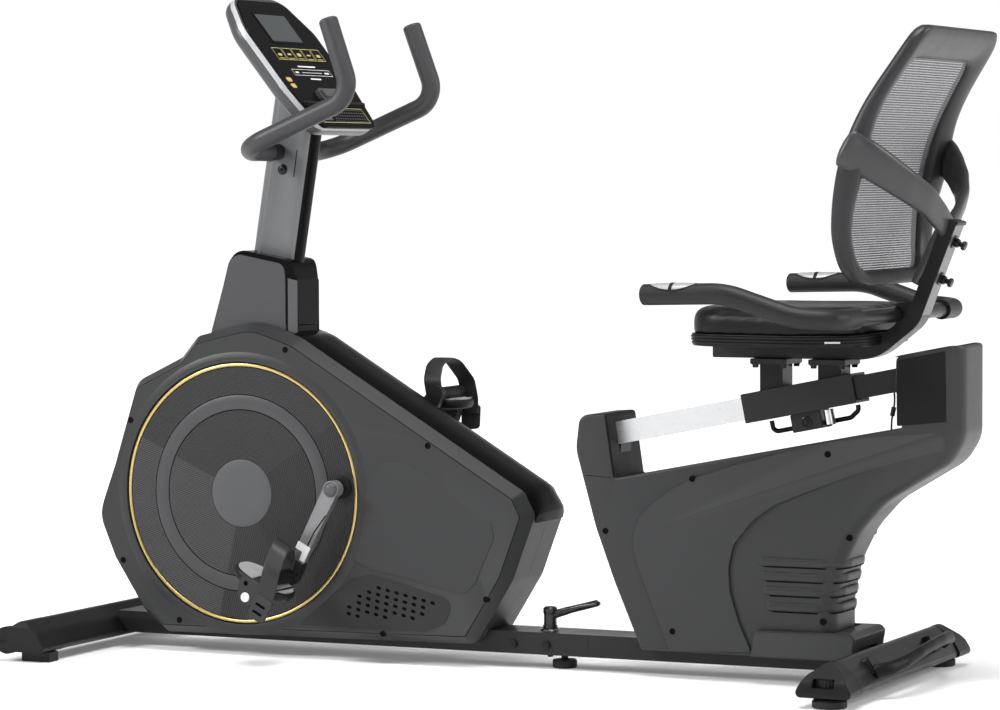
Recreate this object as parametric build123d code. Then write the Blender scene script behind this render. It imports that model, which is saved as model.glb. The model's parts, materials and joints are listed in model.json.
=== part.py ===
from build123d import *
import math
import os

# Recumbent exercise bike. Millimetres, +X towards the rear of the bike, +Y to the rider's right,
# +Z up, floor at z = 0. The rider sits at the rear and faces -X.
# Lengthwise stations are measured from a datum near the frame joint. ORIGIN_SHIFT moves the parts
# so that the origin lies on the floor, below the middle of the overall box.

# ---- Overall ----
FRONT_END = -890.0          # nose of the transport wheels
REAR_END = 790.0            # back face of the rear housing
ORIGIN_SHIFT = -(FRONT_END + REAR_END) / 2
GAP = 0.3                   # clearance between bodies that move past each other

# ---- Beam ----
BEAM_HALF = 40.0
BEAM_BOTTOM = 25.0
BEAM_TOP = 63.0
BEAM_WALL = 2.5
BEAM_FRONT = -800.0
JOINT_X = 122.0             # where the front and the rear beam meet
BEAM_REAR = 612.0

# ---- Front housing ----
SHELL_HALF = 88.0           # outer faces of the side covers
SHELL_BEVEL = 27.0          # how far the bevel runs inwards across the width
SHELL_BEVEL_FACE = 15.0     # how far it runs in over the side face
SHELL_WALL = 3.0
SHELL_OUTLINE = [
    (-684, 33), (-730, 68), (-789, 158), (-824, 240), (-790, 330), (-742, 478), (-650, 522),
    (-618, 560), (-498, 589), (-412, 560), (14, 304), (34, 264), (-8, 152), (-78, 40),
]
SHELL_CORNERS = [22, 60, 60, 70, 60, 34, 14, 20, 110, 60, 24, 24, 60, 22]
SHELL_SCREWS = [(-430, 540), (-742, 410), (-760, 160), (-646, 58), (-155, 380), (-46, 121), (-243, 53)]
STRIP_HALF = 60.0
STRIP_RISE = 7.0

# ---- Side disc ----
DISC_X = -519.0
DISC_Z = 287.0
RING_OUTER = 229.0
RING_WIDTH = 7.0
DISC_POCKET = 5.0
DISC_THICK = 3.0

# ---- Crank, belt and flywheel ----
CRANK_X = -320.0
CRANK_Z = 303.0
CRANK_LENGTH = 170.0
CRANK_ANGLE = 242.5         # direction of the left arm from the axle, seen from the rider's left
AXLE_R = 8.5
ARM_Y = 118.0               # inner face of each arm
ARM_THICK = 14.0
PULLEY_R = 105.0
FLYWHEEL_R = 118.0
BELT_Y = -56.0
BELT_HALF = 7.0
SMALL_PULLEY_R = 21.0
FLYWHEEL_BORE = 16.0        # bearing seat in the upright
FLYWHEEL_AXLE_R = 6.0
BRAKE_PIVOT = (-530.0, 444.0)

# ---- Pedals ----
PEDAL_GAP = 3.0
PEDAL_TILT = -22.0          # how far the left pedal's nose hangs
PEDAL_IN = -ARM_Y - ARM_THICK - PEDAL_GAP - 0.6
PEDAL_OUT = PEDAL_IN - 92

# ---- Mast ----
MAST_BASE_X = -487.0
MAST_BASE_Z = 705.0
MAST_SLOPE = 0.163
MAST_WIDTH = 94.0
MAST_DEPTH = 44.0
MAST_WALL = 2.5

# ---- Console ----
CONSOLE_FOOT = (-344.5, 922.0)      # foot of the face, side view
CONSOLE_LEAN = (0.78, 0.625)        # direction the face looks in
CONSOLE_HALF = 128.0
CONSOLE_LENGTH = 294.0
CONSOLE_DEPTH = 34.0
CONSOLE_BEVEL = 14.0
BUTTONS = [(103.0, -103.0), (89.0, -103.0)]      # up the face, across it

# ---- Handlebar ----
BAR_X = -478.0              # where the bar crosses the mast
BAR_Z = 884.0
BAR_RADII = [42, 60, 60, 42]
BAR_R = 12.5
FOAM_R = 16.5

# ---- Seat rail ----
RAIL_X = 163.0
RAIL_Z = 405.0
RAIL_SLOPE = 11.27
RAIL_HEIGHT = 38.0
RAIL_HALF = 28.0
RAIL_LENGTH = 556.0
SLEEVE_FROM = 248.0         # along the rail
SLEEVE_TO = 434.0
SLEEVE_WALL = 3.0
ROLLER_GAP = 2.5
LATCH_AT = 352.0            # along the rail
LATCH_TRAVEL = 7.0

# ---- Rear housing ----
REAR_HALF = 66.0
REAR_WALL = 3.0
REAR_OUTLINE = [
    (118, 436), (112, 380), (147, 250), (182, 157), (230, 46), (570, 46), (570, 135), (583, 200),
    (612, 258), (655, 306), (765, 372), (REAR_END, 412), (REAR_END, 566), (678, 544), (676, 498),
    (688, 430), (182, 333), (166, 440),
]
REAR_CORNERS = [10, 40, 200, 200, 6, 6, 60, 100, 100, 100, 30, 30, 6, 6, 30, 2, 2, 4]
REAR_SCREWS = [(325, 337), (562, 384), (603, 248), (289, 81), (553, 109), (166, 244)]
LEAD_X = 650.0              # where the signal lead crosses the window under the rail

# ---- Seat ----
SEAT_BAR_LOW = 537.0
SEAT_BAR_HIGH = 561.0
PAD_HALF = 196.0
HANDLE_HALF = 331.0
HANDLE_TUBE_R = 12.5
SADDLE_X = 662.0            # where the seat handles' cross tube passes the upright
SADDLE_Z = 612.0
GRIP_R = 17.0

# ---- Backrest ----
BACK_DEPTH = 30.0
BACK_RIM = 44.0
BACK_PROFILE = [(655, 655), (634, 690), (627, 745), (630, 802), (640, 860), (662, 915), (694, 970), (728, 1025),
                (762, 1080)]
BACK_RADII = [60, 90, 90, 90, 30, 30, 90, 90, 90, 60]

# ---- Stabilisers ----
FRONT_STAB_X = -832.0
REAR_STAB_X = 640.0
STAB_TOP = 71.0
STAB_LOW = 18.0
CAP_FROM = 246.0
WHEEL_X = -866.0
WHEEL_Z = 36.5
WHEEL_R = 24.0

os.makedirs("parts", exist_ok=True)


def save(name, *solids):
    """Writes one node: every solid moved to the object's own origin."""
    moved = [Pos(ORIGIN_SHIFT, 0, 0) * s for s in solids]
    whole = moved[0] if len(moved) == 1 else Compound(children=[c for m in moved for c in m.solids()])
    export_step(whole, f"parts/{name}.step")


def face_of(points, radius=0):
    """Closed outline with rounded corners, as a face."""
    if isinstance(radius, list) or radius > 0:
        return make_face(FilletPolyline(*points, radius=radius, close=True))
    return make_face(Polyline(*points, close=True))


def prism_y(points, low, high, radius=0):
    """Side-view outline (x, z), extruded across the width from y = low to y = high."""
    return extrude(Plane.XZ.offset(-high) * face_of(points, radius), high - low)


def prism_x(points, low, high, radius=0):
    """Front-view outline (y, z), extruded along the length."""
    return extrude(Plane.YZ.offset(low) * face_of(points, radius), high - low)


def prism_z(points, low, high, radius=0):
    """Plan outline (x, y), extruded upwards."""
    return extrude(Plane.XY.offset(low) * face_of(points, radius), high - low)


def box(x0, x1, y0, y1, z0, z1):
    """Block between two corners."""
    return Pos((x0 + x1) / 2, (y0 + y1) / 2, (z0 + z1) / 2) * Box(x1 - x0, y1 - y0, z1 - z0)


def rod_y(x, z, radius, low, high):
    """Cylinder across the width."""
    return Pos(x, (low + high) / 2, z) * Rot(90, 0, 0) * Cylinder(radius, high - low)


def rod_z(x, y, radius, low, high):
    """Upright cylinder."""
    return Pos(x, y, (low + high) / 2) * Cylinder(radius, high - low)


def tube(points, radii, outer, inner=0):
    """Round tube along straight runs joined by arcs."""
    path = FilletPolyline(*points, radius=radii)
    start = Plane(origin=path @ 0, z_dir=path % 0)
    section = Circle(outer) - Circle(inner) if inner else Circle(outer)
    return sweep(start * section, path)


def bend_radii(points):
    """Widest bends that leave a straight piece of every run."""
    radii = []
    for before, corner, after in zip(points, points[1:], points[2:]):
        first, second = Vector(*corner) - Vector(*before), Vector(*after) - Vector(*corner)
        half_turn = math.radians(first.get_angle(second)) / 2
        radii.append(0.45 * min(first.length, second.length) / math.tan(half_turn))
    print("lead bend radii", [round(r, 1) for r in radii])
    return radii


def mirrored(shape):
    """The same piece on the other side of the bike."""
    return mirror(shape, Plane.XZ)


def grown(points, amount, radius):
    """Outline moved outwards (or inwards, when negative)."""
    return offset(face_of(points, radius), amount)


# ---- Front housing ----
def mast_plane(height):
    """Plane square to the mast, the given distance above its reference point."""
    lean = Vector(MAST_SLOPE, 0, 1).normalized()
    origin = Vector(MAST_BASE_X, 0, MAST_BASE_Z) + lean * height
    return Plane(origin=origin, x_dir=Vector(1, 0, -MAST_SLOPE), z_dir=lean)


def mast_section(width, depth, low, high):
    """Length of flat-oval mast tube."""
    return extrude(mast_plane(low) * RectangleRounded(width, depth, depth * 0.45), high - low)


def build_front_shells():
    body = prism_y(SHELL_OUTLINE, -SHELL_HALF, -0.15, SHELL_CORNERS)
    face = body.faces().sort_by(Axis.Y)[0]
    body = chamfer(face.edges(), SHELL_BEVEL_FACE, SHELL_BEVEL, reference=face)
    inner = Plane.XZ.offset(-1) * grown(SHELL_OUTLINE, -SHELL_WALL, SHELL_CORNERS)
    body -= extrude(inner, SHELL_HALF - SHELL_BEVEL + 1)
    deep = Plane.XZ.offset(-1) * grown(SHELL_OUTLINE, -SHELL_BEVEL_FACE - SHELL_WALL, SHELL_CORNERS)
    body -= extrude(deep, SHELL_HALF - DISC_POCKET - SHELL_WALL + 1)
    body -= rod_y(DISC_X, DISC_Z, RING_OUTER + 3, -SHELL_HALF - 1, -SHELL_HALF + DISC_POCKET)
    body -= rod_y(CRANK_X, CRANK_Z, 33, -SHELL_HALF - 1, 0)
    body -= box(-900, 200, -BEAM_HALF - 0.5, 1, 0, BEAM_TOP + 0.5)
    body -= box(-585, -440, -26, 1, 520, 620)
    for x, z in SHELL_SCREWS:
        body -= rod_y(x, z, 5, -SHELL_HALF - 1, -SHELL_HALF + 8)
    save("front_shell_left", body)
    save("front_shell_right", mirrored(body))


def build_screws():
    heads = []
    for x, z in SHELL_SCREWS:
        head = rod_y(x, z, 4.6, -SHELL_HALF + 4, -SHELL_HALF + 8)
        head -= rod_y(x, z, 2, -SHELL_HALF + 3, -SHELL_HALF + 6)
        heads += [head, mirrored(head)]
    for x, z in REAR_SCREWS:
        head = rod_y(x, z, 4.2, -REAR_HALF + 0.4, -REAR_HALF + 2.5)
        head -= rod_y(x, z, 2, -REAR_HALF, -REAR_HALF + 2)
        heads += [head, mirrored(head)]
    save("shell_screws", *heads)


def build_centre_strip():
    """Domed cover that lies on the rear slope and wraps over the rear corner."""
    under = [(-424, 560), (16, 299), (36, 262), (52, 262), (52, 330), (-400, 590)]
    lower = Plane.XZ.offset(-STRIP_HALF) * grown(SHELL_OUTLINE, STRIP_RISE, SHELL_CORNERS)
    ring = extrude(lower, STRIP_HALF * 2)
    inner = Plane.XZ.offset(-STRIP_HALF - 1) * grown(SHELL_OUTLINE, GAP, SHELL_CORNERS)
    ring -= extrude(inner, STRIP_HALF * 2 + 2)
    strip = ring & prism_y(under, -STRIP_HALF, STRIP_HALF)
    save("centre_strip", strip)


def build_side_discs():
    disc = rod_y(DISC_X, DISC_Z, RING_OUTER - RING_WIDTH - 1, -SHELL_HALF + DISC_POCKET - DISC_THICK - 1,
                 -SHELL_HALF + DISC_POCKET - GAP)
    disc -= rod_y(CRANK_X, CRANK_Z, 28, -SHELL_HALF - 5, -SHELL_HALF + 10)
    ring = rod_y(DISC_X, DISC_Z, RING_OUTER, -SHELL_HALF - 1, -SHELL_HALF + DISC_POCKET - GAP)
    ring -= rod_y(DISC_X, DISC_Z, RING_OUTER - RING_WIDTH, -SHELL_HALF - 2, -SHELL_HALF + 10)
    save("side_discs", disc, mirrored(disc))
    save("trim_rings", ring, mirrored(ring))


def build_front_frame():
    beam = box(BEAM_FRONT, JOINT_X, -BEAM_HALF, BEAM_HALF, BEAM_BOTTOM, BEAM_TOP)
    beam -= box(BEAM_FRONT + 4, JOINT_X + 1, -BEAM_HALF + BEAM_WALL, BEAM_HALF - BEAM_WALL,
                BEAM_BOTTOM + BEAM_WALL, BEAM_TOP - BEAM_WALL)
    post = box(CRANK_X - 22, CRANK_X + 22, -20, 20, BEAM_TOP - 1, CRANK_Z)
    fit = 2 * MAST_WALL + 0.4
    upright = mast_section(MAST_WIDTH - fit, MAST_DEPTH - fit, -648, -30)
    brace = prism_y([(-555, 400), (CRANK_X + 8, 318), (CRANK_X + 8, 290), (-552, 360)], -12, 12)
    shell = rod_y(CRANK_X, CRANK_Z, 26, -38, 38)
    hub = rod_y(flywheel_x(), DISC_Z, 24, -22, 22)
    frame = beam + post + upright + brace + shell + hub
    frame -= rod_y(CRANK_X, CRANK_Z, 21, -39, 39)
    frame -= rod_y(flywheel_x(), DISC_Z, FLYWHEEL_BORE, -60, 60)
    frame -= rod_z(34, 0, 6.5, BEAM_BOTTOM - 1, BEAM_TOP + 1)
    frame -= arch_prism(FRONT_STAB_X, 50.2, -200, 200)
    frame += rod_y(BRAKE_PIVOT[0], BRAKE_PIVOT[1], 5.95, 10, 66)
    save("front_frame", max(frame.solids(), key=lambda s: s.volume))


def flywheel_x():
    """The flywheel's axle passes through the raked upright."""
    return MAST_BASE_X - MAST_SLOPE * (MAST_BASE_Z - DISC_Z)


def build_mast():
    mast = mast_section(MAST_WIDTH, MAST_DEPTH, -112, 340)
    mast -= mast_section(MAST_WIDTH - 2 * MAST_WALL, MAST_DEPTH - 2 * MAST_WALL, -113, 341)
    mast -= extrude(console_frame(-CONSOLE_DEPTH - GAP) * Rectangle(900, 400), 300)
    mast -= rod_y(BAR_X, BAR_Z, BAR_R + 0.05, -60, 60)
    save("mast", mast)


def build_mast_cover():
    side = [(-592, 576), (-571, 645), (-552, 716), (-440, 694), (-431, 660), (-430, 578), (-498, 598)]
    outer = prism_y(side, -52, 52, [4, 60, 30, 26, 20, 4, 90])
    plan = [(-610, -52), (-446, -52), (-430, -38), (-430, 38), (-446, 52), (-610, 52)]
    outer = outer & prism_z(plan, 540, 740)
    outer -= prism_y([(-583, 560), (-561, 645), (-545, 705), (-447, 685), (-438, 655), (-437, 560)], -48, 48)
    outer -= mast_section(MAST_WIDTH + 2 * GAP, MAST_DEPTH + 2 * GAP, -200, 60)
    save("mast_cover", outer)


# ---- Console ----
def console_frame(lift=0.0):
    """Plane of the console's face: local x runs up the face, local y across the bike."""
    up = Vector(-CONSOLE_LEAN[1], 0, CONSOLE_LEAN[0]).normalized()
    out = Vector(CONSOLE_LEAN[0], 0, CONSOLE_LEAN[1]).normalized()
    origin = Vector(CONSOLE_FOOT[0], 0, CONSOLE_FOOT[1]) + out * lift
    return Plane(origin=origin, x_dir=up, z_dir=out)


def console_outline(inset):
    """Face outline in its own plane: nearly square with generous corners, narrower at the foot."""
    top = CONSOLE_LENGTH - inset
    wide = CONSOLE_HALF - inset
    left = [(inset, -110 + inset), (90, -wide), (220, -wide), (top, -88 + inset)]
    return left + [(along, -across) for along, across in reversed(left)]


def console_slab(inset, low, high, radius):
    """Slab with the face's outline, between two depths."""
    return extrude(console_frame(low) * face_of(console_outline(inset), radius), high - low)


def build_console():
    back = console_slab(0, -CONSOLE_DEPTH, -1.5, 34)
    out = console_frame().z_dir
    rear_edges = back.faces().sort_by(lambda f: f.center().dot(out))[0].edges()
    back = chamfer(rear_edges, CONSOLE_BEVEL)
    back -= console_slab(3, CONSOLE_BEVEL + 1 - CONSOLE_DEPTH, 1, 31)
    back -= console_slab(CONSOLE_BEVEL + 4, 4 - CONSOLE_DEPTH, CONSOLE_BEVEL + 2 - CONSOLE_DEPTH, 18)
    face = console_slab(3.3, -4, 2, 30)
    for along, across in BUTTONS:
        face -= extrude(console_frame(-5) * Pos(along, across) * Rectangle(8.6, 21.6), 9)
    save("console_back", back)
    save("console_face", face)
    for name, (along, across) in zip(("button_upper", "button_lower"), BUTTONS):
        save(name, extrude(console_frame(-1) * Pos(along, across) * RectangleRounded(8, 21, 1.5), 5))


# ---- Handlebar ----
def bar_path():
    """Loop handlebar: two horns at the rear, one bend round the front of the mast."""
    left = [(-303, -160, 1104), (-257, -164, 975), (BAR_X, -164, BAR_Z)]
    return left + [(x, -y, z) for x, y, z in reversed(left)]


def build_handlebar():
    points = bar_path()
    bar = tube(points, BAR_RADII, BAR_R, 10.5)
    foam = tube(points, BAR_RADII, FOAM_R, BAR_R)
    near = foam & box(-600, 0, -300, -52, 700, 1300)
    save("handlebar", bar)
    save("handlebar_foam", near, mirrored(near))
    inside = 2 * MAST_WALL + 2 * GAP
    clamp = mast_section(MAST_WIDTH - inside, MAST_DEPTH - inside, 158, 202)
    clamp -= rod_y(BAR_X, BAR_Z, BAR_R + 0.05, -60, 60)
    save("handlebar_clamp", clamp)


# ---- Drive ----
def crank_point(distance, turn=0.0):
    """Point on the crank's line, in the side view."""
    angle = math.radians(CRANK_ANGLE + turn)
    return CRANK_X + distance * math.cos(angle), CRANK_Z + distance * math.sin(angle)


def crank_arm():
    """Left arm: tapered bar from the axle to the pedal."""
    end_x, end_z = crank_point(CRANK_LENGTH)
    low, high = -ARM_Y - ARM_THICK, -ARM_Y
    big = rod_y(CRANK_X, CRANK_Z, 15, low, -ARM_Y + 6)
    small = rod_y(end_x, end_z, 12, low, high)
    along = Vector(end_x - CRANK_X, 0, end_z - CRANK_Z).normalized()
    side = Vector(-along.Z, 0, along.X)
    a, b = Vector(CRANK_X, 0, CRANK_Z), Vector(end_x, 0, end_z)
    corners = [a + side * 14, b + side * 11.5, b - side * 11.5, a - side * 14]
    bar = prism_y([(c.X, c.Z) for c in corners], low, high)
    arm = big + small + bar
    arm -= rod_y(CRANK_X, CRANK_Z, AXLE_R, -ARM_Y - 10, -60)
    arm -= rod_y(end_x, end_z, 7, low - 1, high + 1)
    return arm


def build_crank():
    left = crank_arm()
    right = mirrored(left).rotate(Axis((CRANK_X, 0, CRANK_Z), (0, 1, 0)), 180)
    save("crank_arms", left, right)
    axle = rod_y(CRANK_X, CRANK_Z, AXLE_R, -ARM_Y - 9, ARM_Y + 9)
    axle += rod_y(CRANK_X, CRANK_Z, 19, -100, -78) + rod_y(CRANK_X, CRANK_Z, 19, 78, 100)
    save("crank_axle", axle)
    pulley = rod_y(CRANK_X, CRANK_Z, PULLEY_R, BELT_Y - 8, BELT_Y + 8)
    pulley -= rod_y(CRANK_X, CRANK_Z, PULLEY_R - 14, BELT_Y - 9, BELT_Y - 3)
    pulley -= rod_y(CRANK_X, CRANK_Z, AXLE_R, BELT_Y - 10, BELT_Y + 10)
    for k in range(5):
        x, z = polar(CRANK_X, CRANK_Z, 60, 72 * k)
        pulley -= rod_y(x, z, 18, BELT_Y - 10, BELT_Y + 10)
    save("drive_pulley", pulley)
    rings = []
    for x, z, inner, outer, near in ((CRANK_X, CRANK_Z, AXLE_R + 0.05, 21, 24),
                                     (CRANK_X, CRANK_Z, AXLE_R + 0.05, 21, -36),
                                     (flywheel_x(), DISC_Z, FLYWHEEL_AXLE_R + 0.05, FLYWHEEL_BORE, 10),
                                     (flywheel_x(), DISC_Z, FLYWHEEL_AXLE_R + 0.05, FLYWHEEL_BORE, -22)):
        rings.append(rod_y(x, z, outer, near, near + 12) - rod_y(x, z, inner, near - 1, near + 13))
    save("bearings", *rings)
    spindle = rod_y(*crank_point(CRANK_LENGTH), 6.95, PEDAL_OUT + 5, -ARM_Y - 1)
    spindle += rod_y(*crank_point(CRANK_LENGTH), 9, -ARM_Y - ARM_THICK - PEDAL_GAP, -ARM_Y - ARM_THICK)
    far = mirrored(spindle).rotate(Axis((CRANK_X, 0, CRANK_Z), (0, 1, 0)), 180)
    save("pedal_spindles", spindle, far)


def polar(x, z, radius, degrees):
    """Point on a circle in the side view."""
    return x + radius * math.cos(math.radians(degrees)), z + radius * math.sin(math.radians(degrees))


def pedal_pieces():
    """Left pedal body and strap, level, on their spindle."""
    x, z = crank_point(CRANK_LENGTH)
    body = rod_y(x, z, 13, PEDAL_OUT, PEDAL_IN)
    plate = prism_z([(x - 60, PEDAL_OUT), (x + 48, PEDAL_OUT), (x + 60, PEDAL_OUT + 18),
                     (x + 60, PEDAL_IN - 18), (x + 48, PEDAL_IN), (x - 60, PEDAL_IN)],
                    z - 9, z + 9, [14, 10, 10, 10, 10, 14])
    plate -= box(x - 46, x - 17, PEDAL_OUT + 14, PEDAL_IN - 14, z - 20, z + 20)
    plate -= box(x + 17, x + 46, PEDAL_OUT + 14, PEDAL_IN - 14, z - 20, z + 20)
    body += plate
    body += box(x - 14, x + 14, PEDAL_OUT, PEDAL_IN, z - 20, z)
    body -= rod_y(x, z, 7, PEDAL_OUT + 3, PEDAL_IN + 1)
    strap_outline = [(PEDAL_OUT - 8, z - 12), (PEDAL_OUT - 8, z + 24), (PEDAL_OUT + 16, z + 62),
                     (PEDAL_IN - 20, z + 62), (PEDAL_IN - 1, z + 24), (PEDAL_IN - 1, z + 10)]
    inner = [(PEDAL_OUT - 5, z - 14), (PEDAL_OUT - 5, z + 23), (PEDAL_OUT + 17.5, z + 59),
             (PEDAL_IN - 21.5, z + 59), (PEDAL_IN - 4, z + 23), (PEDAL_IN - 4, z + 9.2)]
    strap = prism_x(strap_outline, x - 34, x - 4, 0) - prism_x(inner, x - 35, x - 3, 0)
    strap = strap - box(x - 80, x + 80, PEDAL_OUT - 0.2, PEDAL_IN + 20, z - 30, z + 9.2)
    strap = strap - body
    return body, max(strap.solids(), key=lambda s: s.volume)


def build_pedals():
    x, z = crank_point(CRANK_LENGTH)
    axis = Axis((x, 0, z), (0, 1, 0))
    body, strap = pedal_pieces()
    turned = [s.rotate(axis, PEDAL_TILT) for s in (body, strap)]
    far_x, far_z = crank_point(CRANK_LENGTH, 180)
    other = [Pos(far_x - x, 0, far_z - z) * mirrored(s) for s in (body, strap)]
    save("pedal_left", turned[0])
    save("pedal_strap_left", turned[1])
    save("pedal_right", other[0])
    save("pedal_strap_right", other[1])


def build_flywheel():
    """Flywheel, small pulley and shaft, turned as one, with the magnet arm in front."""
    x = flywheel_x()
    wheel = rod_y(x, DISC_Z, FLYWHEEL_R, 34, 54)
    wheel -= rod_y(x, DISC_Z, FLYWHEEL_R - 22, 30, 40)
    wheel += rod_y(x, DISC_Z, 22, 26, 56)
    wheel += rod_y(x, DISC_Z, SMALL_PULLEY_R, BELT_Y - 9, BELT_Y + 9)
    wheel += rod_y(x, DISC_Z, FLYWHEEL_AXLE_R, -72, 72)
    save("flywheel", wheel)
    arm = prism_y([(x - 146, 210), (x - 126, 210), (x - 126, 330), (x - 146, 330)], 34, 54, 4)
    pivot_x, pivot_z = BRAKE_PIVOT
    arm += prism_y([(x - 146, 306), (x - 126, 306), (pivot_x + 9, pivot_z - 7), (pivot_x - 3, pivot_z + 11)],
                   58, 62)
    arm += prism_y([(x - 146, 300), (x - 126, 300), (x - 126, 332), (x - 146, 332)], 50, 62)
    arm += rod_y(pivot_x, pivot_z, 11, 56, 64)
    arm -= rod_y(pivot_x, pivot_z, 6, 40, 70)
    save("brake_arm", arm)


def build_belt():
    """Flat belt round the crank pulley and the small pulley, run as one closed band."""
    x = flywheel_x()
    span = CRANK_X - x
    lean = math.asin((PULLEY_R - SMALL_PULLEY_R) / math.hypot(span, CRANK_Z - DISC_Z))
    base = math.atan2(CRANK_Z - DISC_Z, span)

    def band(extra):
        pts = []
        big, small = PULLEY_R + extra, SMALL_PULLEY_R + extra
        top, low = base + math.pi / 2 + lean, base - math.pi / 2 - lean
        pts.append((x + small * math.cos(top), DISC_Z + small * math.sin(top)))
        pts.append((CRANK_X + big * math.cos(top), CRANK_Z + big * math.sin(top)))
        pts.append((CRANK_X + big * math.cos(low), CRANK_Z + big * math.sin(low)))
        pts.append((x + small * math.cos(low), DISC_Z + small * math.sin(low)))
        flat = prism_y(pts, BELT_Y - BELT_HALF, BELT_Y + BELT_HALF)
        flat += rod_y(CRANK_X, CRANK_Z, big, BELT_Y - BELT_HALF, BELT_Y + BELT_HALF)
        return flat + rod_y(x, DISC_Z, small, BELT_Y - BELT_HALF, BELT_Y + BELT_HALF)

    save("drive_belt", band(2.5) - band(GAP))


# ---- Stabilisers ----
def arch(centre, half):
    """Rounded, pointed-arch section seen from the side."""
    return [(centre - half, STAB_LOW), (centre - half * 0.62, STAB_LOW + 34), (centre, STAB_TOP + 4),
            (centre + half * 0.62, STAB_LOW + 34), (centre + half, STAB_LOW)]


def arch_prism(centre, half, low, high, radius=(8, 30, 14, 30, 8)):
    """Arch section extruded across the width."""
    return prism_y(arch(centre, half), low, high, list(radius))


def build_front_stabiliser():
    tube_body = arch_prism(FRONT_STAB_X, 50, -CAP_FROM + 0.5, CAP_FROM - 0.5)
    hollow = arch_prism(FRONT_STAB_X, 46, -CAP_FROM - 5, CAP_FROM + 5, (6, 26, 10, 26, 6))
    tube_body -= hollow & box(-1000, 0, -400, 400, STAB_LOW + 2.5, STAB_TOP - 4)
    save("front_stabiliser", tube_body)
    cap = arch_prism(FRONT_STAB_X, 53, -318, -CAP_FROM)
    slope = prism_x([(-330, -5), (-330, 45), (-308, 74), (-330, 90), (-360, 90), (-360, -5)], -1000, -700)
    cap -= slope
    cap -= rod_y(WHEEL_X, WHEEL_Z, WHEEL_R + 1.5, -312, -288)
    cap -= box(-900, WHEEL_X - 4, -311, -289, 0, 90)
    cap -= rod_y(WHEEL_X, WHEEL_Z, 4, -330, -270)
    save("front_end_caps", cap, mirrored(cap))
    wheel = rod_y(WHEEL_X, WHEEL_Z, WHEEL_R, -310, -290)
    wheel = chamfer(wheel.edges().filter_by(GeomType.CIRCLE), 2)
    wheel -= rod_y(WHEEL_X, WHEEL_Z, 4.05, -320, -280)
    save("transport_wheel_left", wheel)
    save("transport_wheel_right", mirrored(wheel))


def build_rear_stabiliser():
    tube_body = arch_prism(REAR_STAB_X, 48, -CAP_FROM + 0.5, CAP_FROM - 0.5)
    save("rear_stabiliser", tube_body)
    cap = arch_prism(REAR_STAB_X, 52, -306, -CAP_FROM)
    cap -= prism_x([(-320, -5), (-320, 30), (-262, 82), (-330, 90), (-360, 90), (-360, -5)], 500, 800)
    cap -= rod_z(REAR_STAB_X, -274, 24, 34, 48)
    cap -= rod_z(REAR_STAB_X, -274, 5.3, 10, 40)
    cap -= box(REAR_STAB_X - 18, REAR_STAB_X + 18, -330, -274, 34, 48)
    save("rear_end_caps", cap, mirrored(cap))
    wheel = rod_z(REAR_STAB_X, -274, 23, 34 + GAP, 48 - GAP) + rod_z(REAR_STAB_X, -274, 5.2, 7, 35)
    wheel += rod_z(REAR_STAB_X, -274, 20, 0, 16.5)
    save("leveller_left", wheel)
    save("leveller_right", mirrored(wheel))
    handle = tube([(676, -150, 46), (712, -112, 60), (712, 112, 60), (676, 150, 46)], [24, 24], 9)
    handle += box(664, 684, -162, -138, 30, 58) + box(664, 684, 138, 162, 30, 58)
    handle -= arch_prism(REAR_STAB_X, 48.3, -200, 200)
    save("carry_handle", *handle.solids())


def build_feet():
    pads = []
    for y in (-282, 282):
        pads.append(box(-842, -786, y - 16, y + 16, 0, STAB_LOW - 0.1))
    pads.append(rod_z(61, 0, 21, 0, 14) + rod_z(61, 0, 6, 14, BEAM_BOTTOM - 0.1))
    save("foot_pads", *pads)


# ---- Rear housing ----
def build_rear_shells():
    body = prism_y(REAR_OUTLINE, -REAR_HALF, -0.15, REAR_CORNERS)
    inner = Plane.XZ.offset(-1) * grown(REAR_OUTLINE, -REAR_WALL, REAR_CORNERS)
    body -= extrude(inner, REAR_HALF - REAR_WALL + 1)
    front = prism_y([(120, 445), (180, 445), (194, 330), (171, 330), (142, 410)], -REAR_HALF + REAR_WALL, 1)
    body -= front
    body -= prism_y([(660, 420), (700, 425), (704, 541), (660, 532)], -REAR_HALF + REAR_WALL, 1)
    body -= box(100, 700, -BEAM_HALF - 0.5, 1, 20, BEAM_TOP + 0.5)
    body -= lead_room()
    for x, z in REAR_SCREWS:
        body -= rod_y(x, z, 4.6, -REAR_HALF - 1, -REAR_HALF + 2.6)
    main = max(body.solids(), key=lambda s: s.volume)
    save("rear_shell_left", main)
    save("rear_shell_right", mirrored(main))


def lead_room():
    """Hole that the signal lead passes through."""
    return rod_z(LEAD_X - 1.5, 0, 6, 410, 440)


def build_rear_foot_cover():
    side = [(430, 46), (436, 90), (604, 92), (612, 84), (606, 46)]
    cover = prism_y(side, -78, 78, [2, 10, 10, 4, 2])
    cover -= prism_y([(400, 20), (400, 100), (573, 100), (573, 20)], -REAR_HALF - GAP, REAR_HALF + GAP)
    cover -= box(400, 700, -BEAM_HALF - 0.5, BEAM_HALF + 0.5, 20, BEAM_TOP + 0.5)
    cover -= arch_prism(REAR_STAB_X, 48.5, -200, 200)
    save("rear_foot_cover", *[s for s in cover.solids() if s.volume > 500])


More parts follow.
